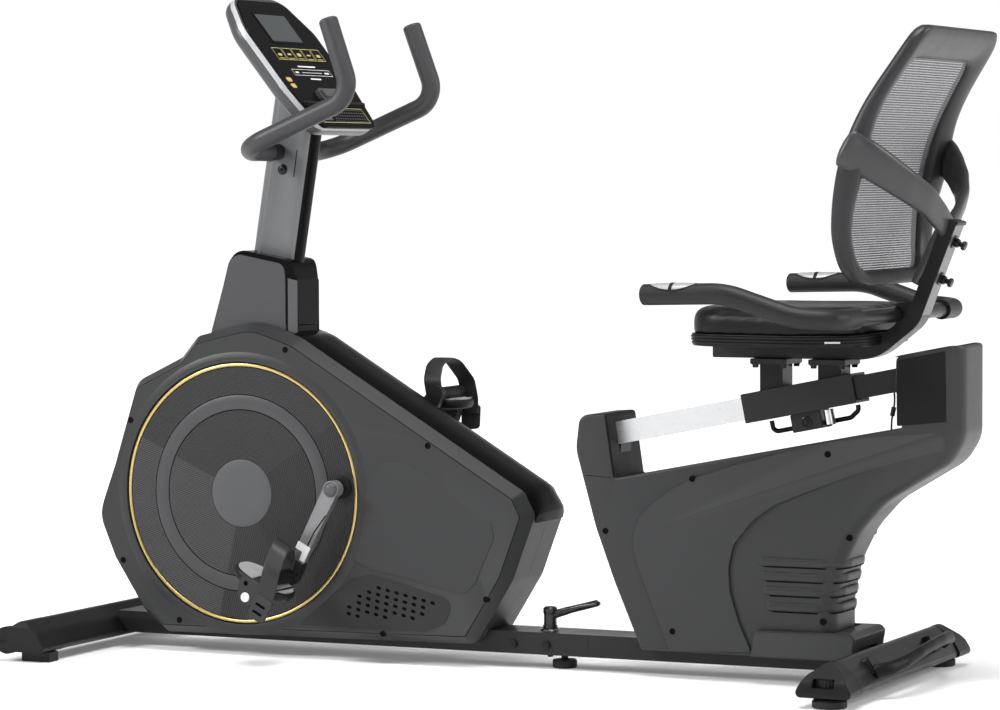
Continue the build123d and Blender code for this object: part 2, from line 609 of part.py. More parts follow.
def build_rear_frame():
    beam = box(JOINT_X + GAP, BEAM_REAR - 12, -BEAM_HALF, BEAM_HALF, BEAM_BOTTOM, BEAM_TOP)
    beam -= box(JOINT_X, BEAM_REAR - 16, -BEAM_HALF + BEAM_WALL, BEAM_HALF - BEAM_WALL,
                BEAM_BOTTOM + BEAM_WALL, BEAM_TOP - BEAM_WALL)
    beam -= arch_prism(REAR_STAB_X, 48.0, -200, 200)
    front = prism_y([(234, 62), (280, 62), (186, 300), (176, 330), (176, 400), (146, 400), (150, 330)], -22, 22)
    rear = prism_y([(500, 62), (552, 62), (552, 190), (600, 285), (726, 385), (730, 500), (694, 500),
                    (694, 412), (560, 310), (500, 200)], -22, 22)
    frame = beam + front + rear
    frame -= rail_prism(-20, RAIL_LENGTH + 40, RAIL_HALF + 5, RAIL_HEIGHT + 0.2)
    save("rear_frame", max(frame.solids(), key=lambda s: s.volume))


# ---- Rail and carriage ----
def rail_plane(along=0.0):
    """Plane square to the rail, the given distance up it."""
    up = Vector(math.cos(math.radians(RAIL_SLOPE)), 0, math.sin(math.radians(RAIL_SLOPE)))
    origin = Vector(RAIL_X, 0, RAIL_Z) + up * along
    return Plane(origin=origin, x_dir=(0, 1, 0), z_dir=up)


def rail_prism(low, high, half, height):
    """Block round the rail's axis, between two distances along it."""
    return extrude(rail_plane(low) * Rectangle(half * 2, height), high - low)


def build_rail():
    rail = rail_prism(0, RAIL_LENGTH, RAIL_HALF, RAIL_HEIGHT)
    rail -= rail_prism(-1, RAIL_LENGTH + 1, RAIL_HALF - 2.5, RAIL_HEIGHT - 5)
    rail -= rod_z(LEAD_X + 3, 0, 3, 470, 492)
    save("rail", rail)


def build_carriage():
    half, height = RAIL_HALF + ROLLER_GAP + SLEEVE_WALL, RAIL_HEIGHT + 2 * (ROLLER_GAP + SLEEVE_WALL)
    sleeve = rail_prism(SLEEVE_FROM, SLEEVE_TO, half, height)
    sleeve -= rail_prism(SLEEVE_FROM - 1, SLEEVE_TO + 1, RAIL_HALF + ROLLER_GAP, RAIL_HEIGHT + 2 * ROLLER_GAP)
    room = rail_prism(SLEEVE_FROM - 60, SLEEVE_TO + 60, RAIL_HALF + ROLLER_GAP, height - 0.2)
    for x in (447, 549):
        post = box(x - 20, x + 20, -24, 24, 468, 528) - box(x - 17, x + 17, -21, 21, 460, 525)
        flange = box(x - 32, x + 32, -38, 38, 528, SEAT_BAR_LOW - 0.2)
        sleeve += (post - room) + flange
    for end in (SLEEVE_FROM - 6, SLEEVE_TO):
        collar = rail_prism(end, end + 6, half, height)
        sleeve += collar - rail_prism(end - 1, end + 7, RAIL_HALF + 1, RAIL_HEIGHT + 2)
    save("carriage", max(sleeve.solids(), key=lambda s: s.volume))
    pads = []
    for at in (SLEEVE_FROM + 14, SLEEVE_TO - 34):
        ring = rail_prism(at, at + 20, RAIL_HALF + ROLLER_GAP - 0.05, RAIL_HEIGHT + 2 * ROLLER_GAP - 0.1)
        pads.append(ring - rail_prism(at - 1, at + 21, RAIL_HALF + GAP, RAIL_HEIGHT + 2 * GAP))
    save("carriage_rollers", *pads)


def down_from_rail(along, drop):
    """Point below the rail's axis, in the side view."""
    a = math.radians(RAIL_SLOPE)
    return (RAIL_X + along * math.cos(a) + drop * math.sin(a),
            RAIL_Z + along * math.sin(a) - drop * math.cos(a))


def build_latch():
    under = RAIL_HEIGHT / 2 + ROLLER_GAP + SLEEVE_WALL
    corners = [down_from_rail(a, d) for a, d in
               ((LATCH_AT - 34, under), (LATCH_AT + 20, under), (LATCH_AT + 20, under + 30),
                (LATCH_AT - 34, under + 30))]
    inner = [down_from_rail(a, d) for a, d in
             ((LATCH_AT - 31, under + 3), (LATCH_AT + 17, under + 3), (LATCH_AT + 17, under + 40),
              (LATCH_AT - 31, under + 40))]
    slot = [down_from_rail(a, d) for a, d in
            ((LATCH_AT - 60, under + 9), (LATCH_AT + 60, under + 9), (LATCH_AT + 60, under + 40),
             (LATCH_AT - 60, under + 40))]
    housing = prism_y(corners, -24, 24) - prism_y(inner, -21, 21) - prism_y(slot, -6, 6)
    save("latch_box", housing)
    path = [down_from_rail(a, d) for a, d in
            ((LATCH_AT - 76, under + 3), (LATCH_AT - 76, under + 22), (LATCH_AT + 62, under + 22),
             (LATCH_AT + 78, under + 12), (LATCH_AT + 78, under + 3))]
    bar = tube([(x, 0, z) for x, z in path], [10, 10, 8], 4)
    plate = [down_from_rail(a, d) for a, d in
             ((LATCH_AT - 20, under + 12), (LATCH_AT + 8, under + 12), (LATCH_AT + 8, under + 26),
              (LATCH_AT - 20, under + 26))]
    save("release_bar", bar + prism_y(plate, -14, 14))


# ---- Seat ----
def build_seat_frame():
    """Flat bar under the seat that bends up into the backrest's upright."""
    outer = [(342, SEAT_BAR_LOW), (628, SEAT_BAR_LOW), (702, 596), (766, 760), (742, 769), (683, 612),
             (616, SEAT_BAR_HIGH), (342, SEAT_BAR_HIGH)]
    bar = prism_y(outer, -22, 22, [3, 90, 60, 3, 3, 50, 70, 3])
    bar += prism_y([(662, 594), (676, 594), (706, 630), (700, 634), (662, 630)], -20, 20)
    bar -= rod_y(SADDLE_X, SADDLE_Z, HANDLE_TUBE_R + 0.05, -40, 40)
    save("seat_frame", bar)


def seat_plan(grow):
    """Seat outline from above: narrow nose, wide rear."""
    g = grow
    return [(352 - g, -132), (392, -168 - g), (560, -PAD_HALF - g), (640 + g, -150), (640 + g, 150),
            (560, PAD_HALF + g), (392, 168 + g), (352 - g, 132)]


def build_seat():
    radii = [60, 70, 90, 70, 70, 90, 70, 60]
    base = prism_z(seat_plan(0), SEAT_BAR_HIGH + GAP, 578, radii)
    base -= prism_z(seat_plan(-4), SEAT_BAR_HIGH + 4, 579, radii)
    base -= box(590, 700, -24, 24, 540, 600)
    save("seat_base", base)
    pad = prism_z(seat_plan(0), 578 + GAP, 628, radii)
    top = pad.faces().sort_by(Axis.Z)[-1].edges()
    pad = fillet(top, 22)
    pad -= box(628, 700, -30, 30, 540, 660)
    save("seat_pad", pad)


def handle_path():
    """U-shaped tube: level grips beside the seat, sweeping down and in behind it."""
    left = [(350, -HANDLE_HALF, 651), (486, -HANDLE_HALF, 654), (600, -322, 616), (SADDLE_X, -300, SADDLE_Z)]
    return left + [(x, -y, z) for x, y, z in reversed(left)]


def build_seat_handles():
    points = handle_path()
    radii = [140, 120, 40, 40, 120, 140]
    bar = tube(points, radii, HANDLE_TUBE_R, 10.5)
    foam = tube(points, radii, GRIP_R, HANDLE_TUBE_R)
    near = foam & box(300, 800, -400, -215, 560, 700)
    save("seat_handlebar", bar)
    save("seat_grips", near, mirrored(near))
    plate = rod_along(364, 424, GRIP_R + 1.2) - rod_along(363, 425, GRIP_R)
    plate = plate & box(360, 430, -HANDLE_HALF - 13, -HANDLE_HALF + 13, 651, 680)
    save("pulse_plates", plate, mirrored(plate))


def rod_along(low, high, radius):
    """Cylinder along the grip."""
    slope = math.degrees(math.atan2(3, 136))
    middle = (low + high) / 2
    place = Pos(middle, -HANDLE_HALF, 651 + (middle - 350) * 3 / 136)
    return place * Rot(0, 90 - slope, 0) * Cylinder(radius, high - low)


# ---- Backrest ----
def back_band(near, far, half):
    """S-shaped sheet across the width, between two depths behind the front surface."""
    front = [(x + near, z) for x, z in BACK_PROFILE]
    back = [(x + far, z) for x, z in reversed(BACK_PROFILE)]
    edges = [Spline(*front), Line(front[-1], back[0]), Spline(*back), Line(back[-1], front[0])]
    return extrude(Plane.XZ.offset(-half) * make_face(edges), half * 2)


def back_outline(inset):
    """Front-view outline: widest at mid height, narrower at the top and foot."""
    i = inset
    return [(-150 + i, 660 + i), (-212 + i, 740), (-224 + i, 850), (-214 + i, 960), (-196 + i, 1076 - i),
            (196 - i, 1076 - i), (214 - i, 960), (224 - i, 850), (212 - i, 740), (150 - i, 660 + i)]


def build_backrest():
    ring = prism_x(back_outline(0), 560, 860, BACK_RADII)
    ring -= prism_x(back_outline(BACK_RIM), 550, 870, BACK_RADII)
    frame = back_band(0, BACK_DEPTH, 240) & ring
    save("backrest_frame", max(frame.solids(), key=lambda s: s.volume))
    sheet = back_band(12, 15, 240) & prism_x(back_outline(BACK_RIM + GAP), 560, 860, BACK_RADII)
    save("backrest_mesh", max(sheet.solids(), key=lambda s: s.volume))
    arm = prism_y([(668, 880), (702, 850), (752, 778), (738, 742), (712, 760), (668, 826)], -400, 400, 6)
    wedge = prism_x([(-206, 905), (-206, 840), (-34, 730), (34, 730), (206, 840), (206, 905), (34, 800),
                     (-34, 800)], 600, 800, 8)
    bracket = arm & wedge
    stem = prism_y([(690, 668), (704, 664), (740, 765), (724, 771)], -22, 22)
    bracket = bracket + stem
    bracket -= prism_y([(628, SEAT_BAR_LOW), (702, 596), (766, 760), (790, 760), (790, 500), (700, 500)], -30, 30)
    bracket -= seat_upright_room()
    bracket -= back_band(-30, BACK_DEPTH + GAP, 240)
    save("backrest_bracket", max(bracket.solids(), key=lambda s: s.volume))


def seat_upright_room():
    """Space that the upright takes."""
    return prism_y([(560, 500), (702, 560), (780, 760), (741.8, 769.3), (682.8, 612.3), (600, 562)], -22.3, 22.3)


def build_bolts():
    """Bolts of the backrest's upright, then the bolts, wheel pins and clamp stud of the frame."""
    bolts = []
    for x, z in ((756, 730), (733, 670)):
        lean = Plane(origin=(x, 0, z), x_dir=(0, 1, 0), z_dir=(0.93, 0, -0.36))
        bolts.append(extrude(lean * Circle(7), 8))
    save("seat_bolts", *bolts)
    frame = []
    for x in (-17, 45):
        for side in (-1, 1):
            head = rod_y(x, 42, 7, BEAM_HALF + 0.1, BEAM_HALF + 5)
            frame.append(head if side > 0 else mirrored(head))
    for side in (-1, 1):
        pin = rod_y(WHEEL_X, WHEEL_Z, 3.95, 271, 318)
        frame.append(pin if side > 0 else mirrored(pin))
    stud = rod_z(34, 0, 5, BEAM_BOTTOM - 8, 104) + rod_z(34, 0, 15, BEAM_TOP + 0.1, BEAM_TOP + 3)
    frame.append(stud)
    save("frame_bolts", *frame)


def build_clamp_lever():
    hub = rod_z(34, 0, 11, BEAM_TOP + 3 + GAP, 98)
    hub -= rod_z(34, 0, 5.05, 60, 105)
    lever = tube([(40, 0, 88), (74, 0, 100), (122, 0, 113)], [40], 6)
    lever -= rod_z(34, 0, 10, 60, 120)
    save("clamp_lever", hub + lever)


def build_signal_lead():
    """Thin lead from under the rail into the rear housing, with its in-line connector."""
    route = [(LEAD_X + 3, 0, 489), (LEAD_X + 4, 0, 466), (LEAD_X - 1.5, 0, 440), (LEAD_X - 2, 0, 404)]
    lead = tube(route, bend_radii(route), 1.6)
    run = Vector(*route[2]) - Vector(*route[1])
    start = Plane(origin=Vector(*route[1]) + run * 0.25, z_dir=run)
    save("signal_lead", lead + extrude(start * Circle(4), 15))


BUILDERS = [
    build_front_shells, build_screws, build_centre_strip, build_side_discs, build_front_frame, build_mast,
    build_mast_cover, build_console, build_handlebar, build_crank, build_pedals, build_flywheel, build_belt,
    build_front_stabiliser, build_rear_stabiliser, build_feet, build_rear_shells, build_rear_foot_cover,
    build_rear_frame, build_rail, build_carriage, build_latch, build_seat_frame, build_seat,
    build_seat_handles, build_backrest, build_bolts, build_clamp_lever, build_signal_lead,
]

for build in BUILDERS:
    build()
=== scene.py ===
import json
import math

import bmesh
import bpy
import numpy as np
from mathutils import Matrix, Vector

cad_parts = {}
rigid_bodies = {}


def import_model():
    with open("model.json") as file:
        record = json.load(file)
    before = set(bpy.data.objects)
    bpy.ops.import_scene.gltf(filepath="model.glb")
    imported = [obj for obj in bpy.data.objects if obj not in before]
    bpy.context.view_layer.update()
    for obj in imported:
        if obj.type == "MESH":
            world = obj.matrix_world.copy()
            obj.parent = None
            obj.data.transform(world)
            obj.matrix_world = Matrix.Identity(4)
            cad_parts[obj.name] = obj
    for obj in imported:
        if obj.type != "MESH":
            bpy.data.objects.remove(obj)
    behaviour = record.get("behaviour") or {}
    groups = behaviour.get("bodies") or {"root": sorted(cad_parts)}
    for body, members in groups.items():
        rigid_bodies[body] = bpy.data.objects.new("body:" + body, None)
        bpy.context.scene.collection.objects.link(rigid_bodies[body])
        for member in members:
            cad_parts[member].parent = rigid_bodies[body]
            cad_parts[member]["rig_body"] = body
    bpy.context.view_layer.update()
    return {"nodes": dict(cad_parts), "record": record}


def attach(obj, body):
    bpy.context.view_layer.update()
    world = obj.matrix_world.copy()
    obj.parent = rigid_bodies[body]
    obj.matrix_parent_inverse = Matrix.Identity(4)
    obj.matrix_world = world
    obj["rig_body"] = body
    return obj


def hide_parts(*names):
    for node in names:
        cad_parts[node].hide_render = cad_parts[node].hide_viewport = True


# Looks of the recumbent exercise bike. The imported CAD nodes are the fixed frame. Stations are given in
# millimetres on the CAD model's own datum, 50 mm ahead of the row frame's origin, and V() turns them
# into row-frame metres. "side" is -1 on the rider's left and +1 on the rider's right.

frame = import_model()
SLOT_OF = {s["node"]: s["material_slot"] for s in frame["record"]["subparts"]}
DATUM = 50.0
SIDES = (("left", -1), ("right", 1))
FRONT_FACE, DISC_FACE, REAR_FACE, ARM_FACE = 88.0, 86.9, 66.0, 132.0  # outer faces, as distances |y|
GRIP_Y, GRIP_RADIUS = 331, 17.0  # seat grips
RAIL_PAINTED_FROM = 437  # along the rail, dark from here to the rear
FLOOR_HALF = 40  # metres


def V(x, y, z):
    """Station in millimetres to a point in the row frame, in metres."""
    return Vector(((x + DATUM) / 1000, y / 1000, z / 1000))


# ---- Camera ----
AZIMUTH, PITCH, ROLL = math.radians(25.018), math.radians(2.8007), math.radians(-0.2524)
camera_data = bpy.data.cameras.new("camera")
camera_data.lens = 133.2
camera_data.sensor_width = 36.0
camera = bpy.data.objects.new("camera", camera_data)
bpy.context.scene.collection.objects.link(camera)
camera.matrix_world = (Matrix.Translation((2.6755, -5.7520, 0.8435)) @ Matrix.Rotation(AZIMUTH, 4, "Z")
                       @ Matrix.Rotation(math.pi / 2 - PITCH, 4, "X") @ Matrix.Rotation(ROLL, 4, "Z"))
bpy.context.scene.camera = camera
bpy.context.scene.view_settings.view_transform = "Standard"


# ---- Geometry helpers ----
def piece(name, verts, faces, body, material, smooth=50):
    """Mesh piece that rides on a body."""
    mesh = bpy.data.meshes.new(name)
    mesh.from_pydata([tuple(v) for v in verts], [], faces)
    bm = bmesh.new()
    bm.from_mesh(mesh)
    bmesh.ops.recalc_face_normals(bm, faces=bm.faces)
    bm.to_mesh(mesh)
    bm.free()
    return settle(name, mesh, body, material, smooth)


def settle(name, mesh, body, material, smooth=50):
    """Links a mesh, shades it and lets it ride."""
    obj = bpy.data.objects.new(name, mesh)
    bpy.context.scene.collection.objects.link(obj)
    for entry in material if isinstance(material, list) else [material]:
        mesh.materials.append(entry)
    mesh.polygons.foreach_set("use_smooth", [True] * len(mesh.polygons))
    mesh.set_sharp_from_angle(angle=math.radians(smooth))
    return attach(obj, body)


def loft(name, rings, body, material, closed=False, caps=True, smooth=50):
    """Skin over rings of equal count. closed joins the last ring to the first."""
    count = len(rings[0])
    verts = [v for ring in rings for v in ring]
    faces = []
    last = len(rings) if closed else len(rings) - 1
    for i in range(last):
        a, b = i * count, ((i + 1) % len(rings)) * count
        for j in range(count):
            k = (j + 1) % count
            faces.append((a + j, a + k, b + k, b + j))
    if caps and not closed:
        faces.append(tuple(reversed(range(count))))
        faces.append(tuple(range(len(verts) - count, len(verts))))
    return piece(name, verts, faces, body, material, smooth)


def rounded(points, radii, closed=False, steps=8):
    """Corners of a run of points turned into arcs. A third or later coordinate is carried along."""
    pts = [np.array(tuple(p), dtype=float) for p in points]
    count = len(pts)
    if not isinstance(radii, (list, tuple)):
        radii = [radii] * count
    out = []
    for i, corner in enumerate(pts):
        radius = radii[i] if closed or len(radii) == count else radii[i - 1] if 0 < i < count - 1 else 0
        if not closed and i in (0, count - 1) or radius <= 0:
            out.append(corner)
            continue
        before, after = pts[i - 1] - corner, pts[(i + 1) % count] - corner
        a, b = np.linalg.norm(before), np.linalg.norm(after)
        before, after = before / a, after / b
        half = math.acos(max(-1.0, min(1.0, float(before @ after)))) / 2
        turn = math.pi - 2 * half
        if turn < 0.01:
            out.append(corner)
            continue
        cut = min(radius / math.tan(half), 0.499 * a, 0.499 * b)
        radius = cut * math.tan(half)
        middle = before + after
        centre = corner + middle / np.linalg.norm(middle) * radius / math.sin(half)
        start, end = corner + before * cut - centre, corner + after * cut - centre
        for k in range(steps + 1):
            t = k / steps
            out.append(centre + (start * math.sin((1 - t) * turn) + end * math.sin(t * turn))
                       / math.sin(turn))
    return [Vector(p) for p in out]


def resample(points, count, closed=True):
    """Evenly spaced points along a run."""
    pts = np.array([tuple(p) for p in points])
    if closed:
        pts = np.vstack([pts, pts[:1]])
    length = np.concatenate([[0], np.cumsum(np.linalg.norm(np.diff(pts, axis=0), axis=1))])
    at = np.linspace(0, length[-1], count + 1 if closed else count)
    if closed:
        at = at[:-1]
    return [Vector([float(np.interp(t, length, pts[:, k])) for k in range(pts.shape[1])]) for t in at]


def oval(width, height, count=20, power=2.4):
    """Rounded section, as (across, up) pairs."""
    out = []
    for i in range(count):
        a = 2 * math.pi * i / count
        c, s = math.cos(a), math.sin(a)
        out.append((width / 2 * math.copysign(abs(c) ** (2 / power), c),
                    height / 2 * math.copysign(abs(s) ** (2 / power), s)))
    return out


def sweep(name, path, section, body, material, up=(0, 0, 1), closed=False, size=None, tips=0.0,
          smooth=50):
    """Section carried along a path in metres; up settles its roll. size gives (across, up) factors."""
    path = [Vector(p) for p in path]
    count = len(path)
    rings = []

    def ring(at, across, lift, fa, fu):
        return [at + across * a * fa / 1000 + lift * b * fu / 1000 for a, b in section]

    for i, at in enumerate(path):
        if closed:
            run = path[(i + 1) % count] - path[i - 1]
        else:
            run = path[min(i + 1, count - 1)] - path[max(i - 1, 0)]
        run.normalize()
        across = run.cross(Vector(up)).normalized()
        lift = across.cross(run).normalized()
        fa, fu = size(i / max(count - 1, 1)) if size else (1, 1)
        if tips and i == 0:
            for t in (0.25, 0.6, 0.85, 0.96):
                rings.append(ring(at - run * tips / 1000 * math.sqrt(1 - t * t), across, lift, fa * t,
                                  fu * t))
        rings.append(ring(at, across, lift, fa, fu))
        if tips and i == count - 1:
            for t in (0.96, 0.85, 0.6, 0.25):
                rings.append(ring(at + run * tips / 1000 * math.sqrt(1 - t * t), across, lift, fa * t,
                                  fu * t))
    return loft(name, rings, body, material, closed=closed, smooth=smooth)


def lathe(name, centre, axis, profile, body, material, count=48, smooth=40):
    """Turned piece: profile of (radius, height) in mm about an axis through centre."""
    axis = Vector(axis).normalized()
    side = axis.orthogonal().normalized()
    other = axis.cross(side)
    rings = []
    for radius, height in profile:
        radius = max(radius, 0.02)
        rings.append([centre + axis * height / 1000
                      + (side * math.cos(2 * math.pi * i / count) + other * math.sin(2 * math.pi * i / count))
                      * radius / 1000 for i in range(count)])
    return loft(name, rings, body, material, smooth=smooth)


def plate(name, outline, side, low, high, body, material, bevel=1.0, radii=0, segments=2):
    """Plate on a side face: outline of (x, z) stations, from |y| = low to |y| = high, with eased edges."""
    flat = [Vector((x, z, 0)) for x, z in outline]
    if radii:
        flat = rounded(flat, radii, closed=True)
    return slab(name, [V(p.x, side * low, p.y) for p in flat], Vector((0, side * (high - low) / 1000, 0)),
                body, material, bevel, segments)


def slab(name, ring, rise, body, material, bevel=1.0, segments=2):
    """Prism on a closed ring of points, with its top edge eased."""
    bm = bmesh.new()
    bottom = [bm.verts.new(p) for p in ring]
    top = [bm.verts.new(p + rise) for p in ring]
    bm.faces.new(bottom)
    lid = bm.faces.new(top)
    for i in range(len(ring)):
        j = (i + 1) % len(ring)
        bm.faces.new((bottom[i], bottom[j], top[j], top[i]))
    bmesh.ops.recalc_face_normals(bm, faces=bm.faces)
    if bevel:
        bmesh.ops.bevel(bm, geom=list(lid.edges), offset=bevel / 1000, segments=segments, affect="EDGES",
                        clamp_overlap=True)
    mesh = bpy.data.meshes.new(name)
    bm.to_mesh(mesh)
    bm.free()
    return settle(name, mesh, body, material, 40)


def refine(node, width=1.2, segments=2, angle=28, paint=None, material=None, line=None, smooth=35):
    """Copy of a CAD node with eased edges, shown in its place. line gives the edges it picks a second
    material, and paint does the same for faces."""
    source = frame["nodes"][node]
    bm = bmesh.new()
    bm.from_mesh(source.data)
    bmesh.ops.remove_doubles(bm, verts=bm.verts, dist=2e-5)
    bmesh.ops.dissolve_limit(bm, angle_limit=math.radians(0.8), verts=bm.verts, edges=bm.edges)
    limit = math.radians(angle)

    def sharp(test=None):
        return [e for e in bm.edges if len(e.link_faces) == 2 and e.calc_face_angle(0) > limit
                and (test is None or test(e))]

    if line:
        made = bmesh.ops.bevel(bm, geom=sharp(line), offset=0.0011, segments=1, affect="EDGES",
                               clamp_overlap=False)
        for face in made["faces"]:
            face.material_index = 1
    if width:
        bmesh.ops.bevel(bm, geom=sharp(), offset=width / 1000, segments=segments, affect="EDGES",
                        clamp_overlap=True)
    bm.normal_update()
    if paint:
        for face in bm.faces:
            if paint(face):
                face.material_index = 1
    mesh = bpy.data.meshes.new(node + "_skin")
    bm.to_mesh(mesh)
    bm.free()
    if "custom_normal" in mesh.attributes:
        mesh.attributes.remove(mesh.attributes["custom_normal"])
    obj = settle(node + "_skin", mesh, source["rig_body"], material or M[SLOT_OF[node]], smooth)
    weigh = obj.modifiers.new("weigh", "WEIGHTED_NORMAL")
    weigh.keep_sharp = True
    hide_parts(node)
    return obj


# ---- Materials ----
def dial(node, **values):
    """Sets a node's input sockets; an underscore in a keyword stands for a space."""
    for key, value in values.items():
        node.inputs[key.replace("_", " ")].default_value = value


def shade(name, color, rough, metallic=0.0, grain=0.0, grain_scale=1400.0, mottle=0.12, rough_vary=0.08,
          coat=0.0, wear_and_highlight=0.0, bump_kind="noise", stretch=None, shine=0.3, ior=1.5):
    """Procedural finish: base colour with faint variation, uneven roughness, grain as bump, lighter edges
    that are partly worn and partly a painted highlight.
    """
    material = bpy.data.materials.new(name)
    material.use_nodes = True
    nodes, links = material.node_tree.nodes, material.node_tree.links
    shader = nodes["Principled BSDF"]
    dial(shader, Metallic=metallic, Specular_IOR_Level=shine, IOR=ior, Coat_Weight=coat, Coat_Roughness=0.08)
    place = nodes.new("ShaderNodeTexCoord")
    coords = place.outputs["Object"]
    if stretch:
        mapping = nodes.new("ShaderNodeMapping")
        dial(mapping, Scale=stretch[0], Rotation=stretch[1])
        links.new(coords, mapping.inputs["Vector"])
        coords = mapping.outputs["Vector"]
    cloud = nodes.new("ShaderNodeTexNoise")
    dial(cloud, Scale=22.0, Detail=5.0)
    links.new(coords, cloud.inputs["Vector"])
    ramp = nodes.new("ShaderNodeMix")
    ramp.data_type = "RGBA"
    dial(ramp, A=(*[c * (1 - mottle) for c in color], 1), B=(*[min(c * (1 + mottle), 1) for c in color], 1))
    links.new(cloud.outputs["Fac"], ramp.inputs["Factor"])
    colour = ramp.outputs["Result"]
    # Pointiness lightens the sharp edges: partly worn edges, partly a painted highlight where the edges catch
    # the light.
    if wear_and_highlight:
        geometry = nodes.new("ShaderNodeNewGeometry")
        edge = nodes.new("ShaderNodeMapRange")
        dial(edge, From_Min=0.52, From_Max=0.62, To_Max=wear_and_highlight)
        links.new(geometry.outputs["Pointiness"], edge.inputs["Value"])
        lighter = nodes.new("ShaderNodeMix")
        lighter.data_type = "RGBA"
        lighter.inputs["B"].default_value = (*[min(c * 2.6 + 0.02, 1) for c in color], 1)
        links.new(edge.outputs["Result"], lighter.inputs["Factor"])
        links.new(colour, lighter.inputs["A"])
        colour = lighter.outputs["Result"]
    links.new(colour, shader.inputs["Base Color"])
    spread = nodes.new("ShaderNodeMapRange")
    dial(spread, To_Min=max(rough - rough_vary, 0.02), To_Max=min(rough + rough_vary, 1))
    links.new(cloud.outputs["Fac"], spread.inputs["Value"])
    links.new(spread.outputs["Result"], shader.inputs["Roughness"])
    if grain:
        if bump_kind == "cells":
            fine = nodes.new("ShaderNodeTexVoronoi")
            fine.feature = "SMOOTH_F1"
            height = fine.outputs["Distance"]
        else:
            fine = nodes.new("ShaderNodeTexNoise")
            fine.inputs["Detail"].default_value = 2.0
            height = fine.outputs["Fac"]
        fine.inputs["Scale"].default_value = grain_scale
        links.new(coords, fine.inputs["Vector"])
        bump = nodes.new("ShaderNodeBump")
        dial(bump, Strength=grain, Distance=0.0004)
        links.new(height, bump.inputs["Height"])
        links.new(bump.outputs["Normal"], shader.inputs["Normal"])
    return material


def disc_material():
    """Moulded disc: fine straight ribs whose direction and lightening change by sector; the darkest sectors,
    beside the crank arm, are a painted shadow of it.
    """
    material = shade("disc_ribbed", (0.016, 0.0148, 0.0158), 0.5, shine=0.2)
    nodes, links = material.node_tree.nodes, material.node_tree.links
    shader = nodes["Principled BSDF"]
    plain = shader.inputs["Base Color"].links[0].from_socket
    place = nodes.new("ShaderNodeTexCoord")
    split = nodes.new("ShaderNodeSeparateXYZ")
    links.new(place.outputs["Object"], split.inputs["Vector"])

    def maths(op, a, b=None, c=None):
        node = nodes.new("ShaderNodeMath")
        node.operation = op
        for i, value in enumerate((a, b, c)):
            if isinstance(value, (int, float)):
                node.inputs[i].default_value = value
            elif value is not None:
                links.new(value, node.inputs[i])
        return node.outputs[0]

    centre = V(DISC_X, 0, DISC_Z)
    dx = maths("SUBTRACT", split.outputs["X"], centre.x)
    dz = maths("SUBTRACT", split.outputs["Z"], centre.z)
    radius = maths("SQRT", maths("ADD", maths("MULTIPLY", dx, dx), maths("MULTIPLY", dz, dz)))
    angle = maths("ARCTAN2", dz, dx)
    height, sector_light_and_shadow = None, None
    # Sectors from -102 to 35 degrees, right of and below the crank arm, are barely lightened: a painted
    # shadow of the arm.
    for low, high, lean, bright in ((35, 155, 128, 0.10), (155, 180, 112, 0.75), (-180, -102, 112, 0.75),
                                    (-102, -60, 12, 0.35), (-60, 35, 12, 0.0)):
        inside = maths("MULTIPLY", maths("GREATER_THAN", angle, math.radians(low)),
                       maths("LESS_THAN", angle, math.radians(high)))
        along = maths("ADD", maths("MULTIPLY", dx, math.cos(math.radians(lean))),
                      maths("MULTIPLY", dz, math.sin(math.radians(lean))))
        wave = maths("MULTIPLY", maths("SINE", maths("MULTIPLY", along, 2 * math.pi / 0.0036)), inside)
        glow = maths("MULTIPLY", inside, bright)
        height = wave if height is None else maths("ADD", height, wave)
        sector_light_and_shadow = glow if sector_light_and_shadow is None else maths("ADD", sector_light_and_shadow, glow)
    inner = maths("MULTIPLY", maths("GREATER_THAN", radius, 0.0605), maths("LESS_THAN", radius, 0.1455))
    zone = maths("ADD", inner, maths("GREATER_THAN", radius, 0.1725))
    height = maths("MULTIPLY", height, zone)
    bump = nodes.new("ShaderNodeBump")
    dial(bump, Strength=0.7, Distance=0.0006)
    links.new(height, bump.inputs["Height"])
    links.new(bump.outputs["Normal"], shader.inputs["Normal"])
    mix = nodes.new("ShaderNodeMix")
    mix.data_type = "RGBA"
    links.new(maths("MULTIPLY_ADD", height, 0.26, maths("MULTIPLY", maths("MULTIPLY", sector_light_and_shadow, zone), 0.35)),
              mix.inputs["Factor"])
    links.new(plain, mix.inputs["A"])
    mix.inputs["B"].default_value = (0.10, 0.097, 0.102, 1)
    links.new(mix.outputs["Result"], shader.inputs["Base Color"])
    return material


